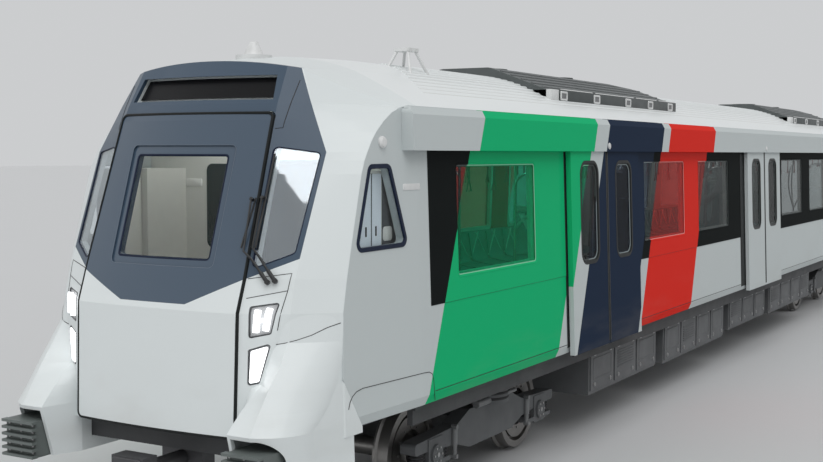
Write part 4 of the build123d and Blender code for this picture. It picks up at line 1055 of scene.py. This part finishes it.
def grab_fittings():
    """Overhead rails on hangers, with straps, and the poles."""
    rails = Piece()
    loops = Piece()
    for x in (-OVERHEAD_X, OVERHEAD_X):
        rails.bar(((x, 2.1, OVERHEAD), (x, BODY_END - 0.3, OVERHEAD)), RAIL_RADIUS, 10)
        for number in range(HANGERS):
            station = HANGER_START + number * HANGER_PITCH
            rails.bar(((x, station, OVERHEAD), (x, station, CEILING)), 0.011, 8)
        for number in range(int((BODY_END - 3.2) / STRAP_PITCH)):
            hang_strap(loops, x, STRAP_START + number * STRAP_PITCH)
    for station in POLE_STATIONS:
        three_bow_pole(rails, station)
    rails.done("overhead_rails_and_poles", "rail")
    loops.done("hanging_straps", "strap")


def draught_screens():
    """A glass screen in a bent tube at each end of the seats."""
    panes = Piece()
    frames = Piece()
    low, high = DRAUGHT_HEIGHTS
    for start, end in SEAT_RUNS:
        for station in (start + 0.03, end - 0.03):
            for sign in SIDES.values():
                inner, outer = sorted((sign * DRAUGHT_X[0], sign * DRAUGHT_X[1]))
                panes.box((inner, station - 0.004, low), (outer, station + 0.004, high), 0.001)
                near, far = sign * RAIL_X, sign * DRAUGHT_X[1]
                frames.bar(((near, station, low - 0.02), (far, station, low - 0.02)), TUBE_RADIUS, 8)
                quarter = [math.pi / 2 * step / 5 for step in range(6)]
                bend = [(near + (far - near) * (1 - math.cos(t)) * 0.4, station,
                         high - 0.15 + 0.17 * math.sin(t)) for t in quarter]
                frames.bar(bend + [(far, station, high + 0.02)], TUBE_RADIUS, 8)
    panes.done("draught_screens", "screen glass")
    frames.done("draught_screen_frames", "rail")


PARTITION_FACE = 1.69
PARTITION_DOOR = (-0.12, 0.66)
DOOR_HEAD = CEILING - 0.12
CAB_DOOR_GLASS = rectangle(-0.055, 0.595, 2.005, 2.945)
SIDE_GLASS = rectangle(-0.665, -0.17, 2.22, 2.94)
CAB_PLATE = rectangle(-0.89, -0.72, 2.745, 2.81)
CAB_LIGHT = ((-0.6, 1.15, 3.50), (0.6, 1.55, 3.52))


def cab_fittings():
    """What shows of the partition through the windscreen, and the cab's ceiling light."""
    face = on_cross_plane(PARTITION_FACE)
    glass = fine(rounded(CAB_DOOR_GLASS, 0.06), 0.5, loop=True)
    rubber = Piece(face)
    rubber.ring(glass, ((-0.03, 0.0), (-0.024, 0.008), (0.0, 0.008), (0.006, -0.01)))
    rubber.done("cab_door_window_rubber", "glazing rubber")
    pane = Piece(face)
    pane.plate(glass, ((0.0, -0.02), (0.0, -0.012)))
    pane.plate(rounded(SIDE_GLASS, 0.06), ((0.0, 0.0), (0.0, 0.006)))
    pane.done("cab_door_window", "dark glass")
    seams = Piece(face)
    for x in PARTITION_DOOR:
        seams.bar(((x, FLOOR + 0.02, 0.0), (x, DOOR_HEAD, 0.0)), 0.004, 6)
    seams.bar([(x, DOOR_HEAD, 0.0) for x in PARTITION_DOOR], 0.004, 6)
    seams.done("cab_door_seams", "seam")
    plate = Piece(face)
    plate.plate(rounded(CAB_PLATE, 0.01), ((0.0, 0.0), (0.0, 0.006), (0.004, 0.008)))
    plate.done("cab_blank_plate", "cab plate")
    lamp = Piece()
    lamp.box(*CAB_LIGHT, 0.008)
    lamp.done("cab_ceiling_light", "cab glow")


LOCKER_OUT = 1.27
LOCKER_HEIGHTS = (FLOOR + 0.06, 2.88)
LOCKER_LEAVES = ((1.00, 1.222), (1.24, 1.37))
LOCKER_SLOTS = (1.148, 1.289)
SLOT_HALF = 0.011
SLOT_HEIGHTS = (2.41, 2.485)
LOCKER_BAY = (1.385, 1.685)
BAY_PANEL = rectangle(1.395, 1.53, 2.365, 2.475)


def locker_fittings(side, sign):
    """Doors and slots of the cabinets behind the triangular window, and the dark bay after them."""
    carcass = Piece(on_long_plane(sign, 0.0))
    carcass.box((1.0, FLOOR + 0.004, 0.96), (1.2, 2.9, LOCKER_OUT), 0.006)
    carcass.done(f"locker_carcass_{side}", "partition")
    face = on_long_plane(sign, LOCKER_OUT)
    gaps = Piece(face)
    behind_leaves = rectangle(LOCKER_LEAVES[0][0], LOCKER_LEAVES[-1][1], *LOCKER_HEIGHTS)
    gaps.plate(behind_leaves, ((0.0, 0.0), (0.0, 0.002)))
    for middle in LOCKER_SLOTS:
        slot = rectangle(middle - SLOT_HALF, middle + SLOT_HALF, *SLOT_HEIGHTS)
        gaps.plate(rounded(slot, 0.008), ((0.0, 0.0), (0.0, 0.0095)))
    gaps.done(f"locker_gaps_and_slots_{side}", "seam")
    doors = Piece(face)
    for ends in LOCKER_LEAVES:
        doors.plate(rounded(rectangle(*ends, *LOCKER_HEIGHTS), 0.008),
                    ((0.0, 0.0), (0.0, 0.005), (0.003, 0.008)))
    doors.done(f"locker_doors_{side}", "locker")
    bay = Piece(face)
    bay.plate(rounded(rectangle(*LOCKER_BAY, *LOCKER_HEIGHTS), 0.02), ((0.0, 0.0), (0.0, 0.004)))
    bay.done(f"locker_bay_{side}", "desk")
    panel = Piece(face)
    panel.plate(rounded(BAY_PANEL, 0.03), ((0.0, 0.003), (0.0, 0.007), (0.002, 0.008)))
    panel.done(f"locker_bay_panel_{side}", "partition")


DESK_FRONT = 0.44
DESK_FLAPS = (-0.70, -0.22, 0.26)
FLAP_WIDTH = 0.44
FLAP_HEIGHTS = (1.2, 1.86)
CATCH_HEIGHT = 1.80
CATCH_MARGIN = 0.06
# The instrument screens: middles, half width, rise, station and height of the foot, lean for each metre up
SCREEN_MIDDLES = (-0.46, 0.0, 0.46)
SCREEN_HALF = 0.17
SCREEN_RISE = 0.21
SCREEN_FOOT = (0.53, 1.93)
SCREEN_LEAN = 0.35
# The power handle's stem and grip. Columns: ends, radius, sides.
HANDLE_BARS = (
    (((0.24, 0.70, 1.90), (0.24, 0.72, 2.0)), 0.012, 10),
    (((0.20, 0.72, 2.0), (0.28, 0.72, 2.0)), 0.018, 12),
)


def desk_fittings():
    """Flaps in the desk's front, instrument screens on its top, and the power handle."""
    flaps = Piece(on_cross_plane(DESK_FRONT))
    catches = Piece(flaps.place)
    for low in DESK_FLAPS:
        high = low + FLAP_WIDTH
        flaps.plate(rounded(rectangle(low, high, *FLAP_HEIGHTS), 0.03),
                    ((0.0, -0.002), (0.0, 0.005), (0.004, 0.008)))
        for x in (low + CATCH_MARGIN, high - CATCH_MARGIN):
            catches.plate(circle(x, CATCH_HEIGHT, 0.016, 16), ((0.0, 0.006), (0.0, 0.012), (0.003, 0.014)))
    flaps.done("desk_flaps", "case")
    catches.done("desk_flap_catches", "bolt")
    station, height = SCREEN_FOOT
    housings = Piece(lambda x, up, out: at(x, station - up * SCREEN_LEAN + out, height + up))
    screens = Piece(housings.place)
    for middle in SCREEN_MIDDLES:
        outline = rounded(rectangle(middle - SCREEN_HALF, middle + SCREEN_HALF, 0.0, SCREEN_RISE), 0.02)
        housings.plate(outline, ((0.01, -0.05), (0.0, -0.03), (0.0, 0.0), (0.004, 0.004)))
        screens.plate(inset(outline, 0.018), ((0.0, 0.0), (0.0, 0.006)))
    housings.done("desk_screen_housings", "desk")
    screens.done("desk_screens", "dark glass")
    handle = Piece()
    for ends, radius, sides in HANDLE_BARS:
        handle.bar(ends, radius, sides)
    handle.done("desk_power_handle", "wiper")


saloon_fittings()
grab_fittings()
draught_screens()
cab_fittings()
desk_fittings()
for side, sign in SIDES.items():
    locker_fittings(side, sign)
    seat_shells(side, sign)


# Roof

# Station at which each roof unit starts
UNIT_STARTS = {"front": 5.2, "rear": 16.0}
UNIT_LENGTH = 4.13
UNIT_HALF = 0.95
UNIT_PANEL = (3.555, 3.705)
PANEL_OUT = 0.065
# Slopes of a unit's top. Columns: x, height of the section; station behind the front, height of the ridge.
UNIT_SECTION = ((0.95, 3.70), (0.30, 3.942), (0.06, 3.976))
UNIT_RIDGE = ((0.0, 3.946), (1.8, 3.975), (3.5, 3.940), (4.13, 3.885))
# Stations behind a unit's front of its latches, its ribs' points, its rails' ends and its fans
LATCH_STATIONS = (0.31, 1.26, 2.28, 3.09, 3.87)
RIB_STATIONS = (0.05, 0.9, 1.8, 2.6, 3.5, UNIT_LENGTH - 0.04)
RAIL_ENDS = ((0.26, 1.15), (1.25, 2.5), (2.6, 3.35), (3.45, 4.05))
FAN_STATIONS = (0.55, 2.45, 3.2)
RIB_X = (0.40, 0.52, 0.64, 0.76, 0.88)
SHOULDER_X = (0.55, 1.01)
FAN_RADIUS = 0.2
FAN_SPOKES = 6


def level_between(points, where):
    """Height of a broken line at a place along it."""
    for (a, low), (b, high) in zip(points, points[1:]):
        if min(a, b) <= where <= max(a, b):
            return low + (high - low) * (where - a) / (b - a)
    return points[-1][1]


def unit_top(x, behind):
    """Height of a roof unit's top."""
    crown = UNIT_SECTION[-1][0]
    return min(level_between(UNIT_SECTION, max(crown, abs(x))), level_between(UNIT_RIDGE, behind))


def unit_side_panel(start, name, side, sign):
    """The panel along a unit's side, with square latches whose centres are dark."""
    low, high = UNIT_PANEL
    panel = Piece(on_long_plane(sign, UNIT_HALF))
    panel.box((start + 0.22, low, -0.01), (start + UNIT_LENGTH, high, PANEL_OUT), 0.008)
    panel.done(f"roof_unit_panel_{name}_{side}", "unit panel")
    catches = Piece(on_long_plane(sign, UNIT_HALF + PANEL_OUT))
    centres = Piece(catches.place)
    for behind in LATCH_STATIONS:
        s = start + behind
        catches.ring(rounded(rectangle(s - 0.09, s + 0.09, low + 0.035, high - 0.015), 0.018),
                     ((0.0, 0.0), (0.002, 0.01), (0.02, 0.01), (0.024, 0.0)))
        centres.plate(rounded(rectangle(s - 0.066, s + 0.066, low + 0.058, high - 0.038), 0.006),
                      ((0.0, 0.0), (0.002, 0.004)))
    catches.done(f"roof_unit_latches_{name}_{side}", "antenna")
    centres.done(f"roof_unit_latch_centres_{name}_{side}", "damper")


def unit_fan_guards(start, name):
    """A ring with spokes over each fan."""
    guards = Piece()
    for behind in FAN_STATIONS:
        middle = start + behind
        height = unit_top(0.0, behind)
        low, high, wire = height - 0.02, height + 0.008, height + 0.004
        guards.ring(circle(0.0, middle, FAN_RADIUS),
                    ((-0.02, low), (-0.02, high), (0.02, high), (0.02, low)))
        for x, station in circle(0.0, middle, FAN_RADIUS - 0.01, FAN_SPOKES):
            guards.bar(((0, middle, wire), (x, station, wire)), 0.005, 6)
    guards.done(f"roof_unit_fan_guards_{name}", "unit panel")


def roof_unit_fittings(start, name):
    rails = Piece()
    ribs = Piece()
    plates = Piece()
    rail_x = UNIT_HALF + PANEL_OUT - 0.012
    for side, sign in SIDES.items():
        unit_side_panel(start, name, side, sign)
        for x in RIB_X:
            ribs.bar([(sign * x, start + s, unit_top(x, s) + 0.004) for s in RIB_STATIONS], 0.009, 6)
        for ends in RAIL_ENDS:
            rails.bar([(sign * rail_x, start + s, UNIT_PANEL[1]) for s in ends], 0.008, 8)
        low, high = sorted(sign * x for x in SHOULDER_X)
        plates.box((low, start, 3.56), (high, start + 0.2, 3.70), 0.004)
    rails.done(f"roof_unit_rails_{name}", "antenna")
    ribs.done(f"roof_unit_ribs_{name}", "unit rib")
    plates.done(f"roof_unit_plates_{name}", "antenna")
    unit_fan_guards(start, name)


for name, start in UNIT_STARTS.items():
    roof_unit_fittings(start, name)


# Running gear

FRAME_X = 0.975
CAP_OUT = 1.082
WHEEL_OUTER = 0.815
HUB_END = 0.83
BOLT_HEAD = 0.011
DISC_INNER = 0.19
DISC_OUTER = 0.315
DISC_THICK = 0.02
DISC_DEPTHS = (0.062, 0.03)
# Circles of bolts. Columns: radius, count.
DISC_BOLTS = (0.22, 12)
HUB_BOLTS = (0.107, 8)
COVER_BOLTS = (0.068, 6)
# Coil springs either side of each axle
SPRING_OFF = 0.195
SPRING_RADIUS = 0.068
SPRING_FOOT = 0.366
SPRING_RISE = 0.1
SPRING_TURNS = 4
COIL_STEPS = 12
# Air springs: radius and height of a fold's points about its middle
AIR_FOLD = ((0.228, -0.018), (0.236, 0.0), (0.228, 0.018), (0.22, 0.0))
AIR_FOLDS = 3
AIR_FOOT = 0.745
AIR_PITCH = 0.05
# An axle's damper: where it stands, its parts' upper end, lower end, radius and sides, and its pins
DAMPER_X = 1.065
DAMPER_OFF = 0.33
DAMPER_PARTS = ((0.585, 0.43, 0.028, 14), (0.44, 0.345, 0.021, 14))
DAMPER_PINS = ((0.60, 0.022), (0.335, 0.02))
PIN_X = (1.04, 1.095)
# The yaw damper beside the bogie: its place, and its parts' first and last station, radius and sides
YAW_X = 1.1
YAW_HEIGHT = 0.74
YAW_PARTS = ((-0.42, 0.1, 0.036, 16), (0.05, 0.42, 0.02, 12))


def ring_bolts(piece, x, station, radius, count, size, reach):
    """Hexagon heads on a circle round an axle, looking along it."""
    for turn in turns(count):
        s, h = station + radius * math.cos(turn), WHEEL_RADIUS + radius * math.sin(turn)
        piece.skin([[(x + out, s + size * math.cos(t), h + size * math.sin(t)) for t in turns(6)]
                    for out in (0.0, reach)])


def wheel_fittings(body, axle):
    """Two brake disc rings on each wheel, and the bolts of the rings and the hubs."""
    discs = Piece()
    bolts = Piece()
    for sign in SIDES.values():
        for depth in DISC_DEPTHS:
            section = ((0.0, DISC_INNER), (0.0, DISC_OUTER),
                       (DISC_THICK, DISC_OUTER), (DISC_THICK, DISC_INNER))
            discs.skin([[(sign * (WHEEL_OUTER - depth + out), axle + radius * math.cos(t),
                          WHEEL_RADIUS + radius * math.sin(t)) for t in turns(40)]
                        for out, radius in section], loop=True)
        ring_bolts(bolts, sign * (WHEEL_OUTER - 0.012), axle, *DISC_BOLTS, BOLT_HEAD, sign * 0.012)
        ring_bolts(bolts, sign * HUB_END, axle, *HUB_BOLTS, BOLT_HEAD, sign * 0.01)
    discs.done(f"brake_discs_{body}", "wheel", body)
    bolts.done(f"wheel_bolts_{body}", "bolt", body)


def coil_spring(piece, x, station):
    steps = SPRING_TURNS * COIL_STEPS
    coil = []
    for step in range(steps + 1):
        turn = 2 * math.pi * step / COIL_STEPS
        coil.append((x + SPRING_RADIUS * math.cos(turn), station + SPRING_RADIUS * math.sin(turn),
                     SPRING_FOOT + SPRING_RISE * step / steps))
    piece.bar(coil, 0.0095, 6)


def air_spring(piece, x, station):
    for fold in range(AIR_FOLDS):
        height = AIR_FOOT + fold * AIR_PITCH
        piece.skin([[(x + radius * math.cos(t), station + radius * math.sin(t), height + up)
                     for t in turns(48)] for radius, up in AIR_FOLD], loop=True)


def axle_damper(piece, sign, station):
    for top, foot, radius, sides in DAMPER_PARTS:
        piece.bar(((sign * DAMPER_X, station, top), (sign * DAMPER_X, station, foot)), radius, sides)
    for height, radius in DAMPER_PINS:
        piece.bar([(sign * x, station, height) for x in PIN_X], radius, 12)


def bogie_fittings(body, middle):
    """Springs, dampers and the bolts of the axle covers on a bogie."""
    springs = Piece()
    bolts = Piece()
    dampers = Piece()
    for sign in SIDES.values():
        for way in (-1, 1):
            axle = middle + way * HALF_WHEELBASE
            for off in (-SPRING_OFF, SPRING_OFF):
                coil_spring(springs, sign * FRAME_X, axle + off)
            ring_bolts(bolts, sign * CAP_OUT, axle, *COVER_BOLTS, BOLT_HEAD, sign * 0.009)
            ring_bolts(bolts, sign * CAP_OUT, axle, 0.0, 1, 0.024, sign * 0.006)
            axle_damper(dampers, sign, axle - way * DAMPER_OFF)
        air_spring(springs, sign * FRAME_X, middle)
        for first, last, radius, sides in YAW_PARTS:
            dampers.bar([(sign * YAW_X, middle + s, YAW_HEIGHT) for s in (first, last)], radius, sides)
    springs.done(f"springs_{body}", "rubber", body)
    bolts.done(f"axle_cover_bolts_{body}", "bolt", body)
    dampers.done(f"dampers_{body}", "damper", body)


for end, middle in BOGIES.items():
    bogie_fittings(f"bogie_{end}", middle)
    wheel_fittings(f"wheelset_{end}_leading", middle - HALF_WHEELBASE)
    wheel_fittings(f"wheelset_{end}_trailing", middle + HALF_WHEELBASE)


# Underfloor cases. Columns: first station, last station, bottom height.
CASES = ((5.7, 7.9, 0.43), (8.2, 10.9, 0.40), (11.2, 13.3, 0.45), (13.6, 16.6, 0.42))
CASE_OUT = 1.269
CASE_TOP = 0.88
LID_MARGIN = 0.04
LID_WIDTH = 0.68
# One lid in so many is slatted, and the number of the first such lid, counted from 0
SLATTED_EVERY = 3
FIRST_SLATTED = 1
SLATS = 7
SLAT_PITCH = 0.03


def case_lids():
    """First and last station, bottom height of each lid."""
    for start, end, bottom in CASES:
        count = round((end - start) / LID_WIDTH)
        pitch = (end - start) / count
        for number in range(count):
            yield (start + number * pitch + LID_MARGIN, start + (number + 1) * pitch - LID_MARGIN / 2,
                   bottom + LID_MARGIN)


def lid_catches(latches, station, bottom):
    """A turning latch at a lid's foot, with its key slot, and the hinge above it."""
    latches.plate(circle(station, bottom + 0.06, 0.024, 16), ((0.0, 0.0), (0.0, 0.008), (0.004, 0.011)))
    slot = rectangle(station - 0.006, station + 0.006, bottom + 0.045, bottom + 0.075)
    latches.plate(rounded(slot, 0.004), ((0.0, 0.01), (0.0, 0.016)))
    hinge = rectangle(station - 0.03, station + 0.03, CASE_TOP - 0.035, CASE_TOP - 0.005)
    latches.plate(rounded(hinge, 0.008), ((0.0, 0.0), (0.0, 0.01)))


def case_fittings(side, sign):
    latches = Piece(on_long_plane(sign, CASE_OUT))
    ribs = Piece(latches.place)
    for number, (start, end, bottom) in enumerate(case_lids()):
        for station in (start + 0.1, end - 0.1):
            lid_catches(latches, station, bottom)
        if number % SLATTED_EVERY == FIRST_SLATTED:
            for slat in range(SLATS):
                height = bottom + 0.14 + slat * SLAT_PITCH
                ribs.box((start + 0.08, height, 0.0), (end - 0.08, height + 0.016, 0.008), 0.003)
        else:
            ribs.ring(rounded(rectangle(start + 0.06, end - 0.06, bottom + 0.11, CASE_TOP - 0.06), 0.02),
                      ((0.0, 0.0), (0.004, 0.005), (0.012, 0.005), (0.016, 0.0)))
    latches.done(f"case_latches_{side}", "bolt")
    ribs.done(f"case_lid_pressings_{side}", "case")


for side, sign in SIDES.items():
    case_fittings(side, sign)


# Ends

CLIMBER_X = (0.90, 1.225)
RIB_BOTTOM = 0.724
RIB_PITCH = 0.052
RIBS = 5
# Bolts in a rib: their height above its bottom, shares of its width, radius, and stations of foot and head
RIB_BOLT_UP = 0.036
RIB_BOLT_SHARES = (0.12, 0.5, 0.88)
RIB_BOLT_RADIUS = 0.009
RIB_BOLT_ENDS = (-0.044, -0.053)
REAR_TIP = 22.705
COUPLER_HEIGHT = 0.72
COUPLER_FRONT = -0.04
COUPLER_HALF = (0.14, 0.12)
# How far the socket and the cone stand to either side of the middle of the coupler's face
COUPLER_X = 0.062
HANDRAIL_X = 1.05
HANDRAIL_OUT = 0.06
# Where a handrail leaves the wall, is clear of it, turns back, and meets it
HANDRAIL_HEIGHTS = (1.45, 1.47, 2.33, 2.35)


def climber_bolts():
    """Three bolt heads in each rib of the anti-climbers."""
    bolts = Piece()
    for sign in SIDES.values():
        for row in range(RIBS):
            height = RIB_BOTTOM + RIB_BOLT_UP + row * RIB_PITCH
            for share in RIB_BOLT_SHARES:
                x = sign * (CLIMBER_X[0] + share * (CLIMBER_X[1] - CLIMBER_X[0]))
                bolts.skin([[(a, station, b) for a, b in circle(x, height, RIB_BOLT_RADIUS, 6)]
                            for station in RIB_BOLT_ENDS])
    bolts.done("anticlimber_bolts", "bolt")


def coupler_face():
    """The front coupler's face plate, with its socket and cone."""
    face = Piece(on_cross_plane(COUPLER_FRONT))
    half, rise = COUPLER_HALF
    outline = rounded(rectangle(-half, half, COUPLER_HEIGHT - rise, COUPLER_HEIGHT + rise), 0.03)
    face.plate(outline, ((0.0, -0.01), (0.0, 0.008), (0.006, 0.014)))
    face.ring(circle(COUPLER_X, COUPLER_HEIGHT, 0.045),
              ((-0.008, 0.01), (-0.006, 0.024), (0.004, 0.024), (0.01, 0.01)))
    face.plate(circle(-COUPLER_X, COUPLER_HEIGHT, 0.04), ((0.0, 0.01), (0.004, 0.03), (0.018, 0.046)))
    face.done("front_coupler_face", "coupler")


def rear_fittings():
    """Handrails beside the gangway and the seal on its face."""
    rails = Piece()
    stations = (BODY_END, BODY_END + HANDRAIL_OUT, BODY_END + HANDRAIL_OUT, BODY_END)
    for sign in SIDES.values():
        rails.bar([(sign * HANDRAIL_X, *p) for p in zip(stations, HANDRAIL_HEIGHTS)], 0.014, 10)
    rails.done("end_wall_handrails", "rail")
    seal = Piece(on_cross_plane(REAR_TIP - 0.004, way=1))
    seal.ring(rounded(rectangle(-0.72, 0.72, FLOOR - 0.02, 3.14), 0.04),
              ((-0.03, 0.0), (-0.03, 0.004), (0.0, 0.004), (0.0, 0.0)))
    seal.done("gangway_face_seal", "glazing rubber")


climber_bolts()
coupler_face()
rear_fittings()


# Camera, fitted to the photograph

PHOTO_WIDTH = 823
FOCAL_PIXELS = 1216.49
CAMERA_AT = (6.073, -6.497, 3.035)
CAMERA_YAW = math.radians(29.923)
CAMERA_PITCH = math.radians(-3.669)
CAMERA_ROLL = math.radians(0.129)


def make_camera():
    data = bpy.data.cameras.new("camera")
    data.lens = FOCAL_PIXELS / PHOTO_WIDTH * data.sensor_width
    data.clip_end = 500.0
    camera = bpy.data.objects.new("camera", data)
    turn = Matrix.Rotation(CAMERA_YAW, 4, "Z") @ Matrix.Rotation(math.pi / 2 + CAMERA_PITCH, 4, "X")
    camera.matrix_world = Matrix.Translation(at(*CAMERA_AT)) @ turn @ Matrix.Rotation(CAMERA_ROLL, 4, "Z")
    bpy.context.scene.collection.objects.link(camera)
    bpy.context.scene.camera = camera


# Studio: pale floor, even sky, soft lamps

BACKDROP = (0.60, 0.61, 0.62)
FLOOR_SIZE = 400.0
SKY = 0.55
# Columns: name, strength, where it shines from as seen from the car's middle, how wide it looks in degrees
LAMPS = (("key", 1.2, (5.5, -6.5, 12.0), 50), ("fill", 0.4, (-8.0, -9.0, 5.0), 70))


def make_world():
    """An even sky on the car. The camera, reflections and glass see the backdrop's colour instead."""
    world = bpy.data.worlds.new("studio")
    world.use_nodes = True
    sky = NodeTree(world.node_tree)
    camera, glossy, through = (sky.node("ShaderNodeLightPath", out=f"Is {ray} Ray")
                               for ray in ("Camera", "Glossy", "Transmission"))
    light = sky.node("ShaderNodeBackground", {}, {"Color": (1.0, 1.0, 1.0, 1.0), "Strength": SKY})
    shown = sky.node("ShaderNodeBackground", {}, {"Color": (*BACKDROP, 1.0), "Strength": 1.0})
    mixed = sky.blend(camera.above(glossy.above(through)), light, shown)
    sky.node("ShaderNodeOutputWorld", {}, {"Surface": mixed})
    bpy.context.scene.world = world


def make_floor():
    half = FLOOR_SIZE / 2
    mesh = bpy.data.meshes.new("floor")
    mesh.from_pydata([(*corner, 0.0) for corner in rectangle(-half, half, -half, half)], [], [(0, 1, 2, 3)])
    floor = bpy.data.objects.new("floor", mesh)
    floor.location.z = cad_low.z - 0.001
    bpy.context.scene.collection.objects.link(floor)
    finish = Finish("studio floor", "")
    tone = finish.mix(finish.noise(0.6, 4.0) * 0.2, BACKDROP, scaled(BACKDROP, 0.93))
    finish.done(finish.principled({"Base Color": tone, "Roughness": 0.75}))
    floor.data.materials.append(finish.material)


def make_lamp(name, strength, place, width):
    """A soft sun that shines from a place towards the car's middle."""
    data = bpy.data.lights.new(name, "SUN")
    data.energy = strength
    data.angle = math.radians(width)
    lamp = bpy.data.objects.new(name, data)
    lamp.location = place
    lamp.rotation_mode = "QUATERNION"
    lamp.rotation_quaternion = Vector(place).to_track_quat("Z", "Y")
    bpy.context.scene.collection.objects.link(lamp)


make_camera()
make_world()
make_floor()
for lamp in LAMPS:
    make_lamp(*lamp)
bpy.context.scene.view_settings.view_transform = "Standard"
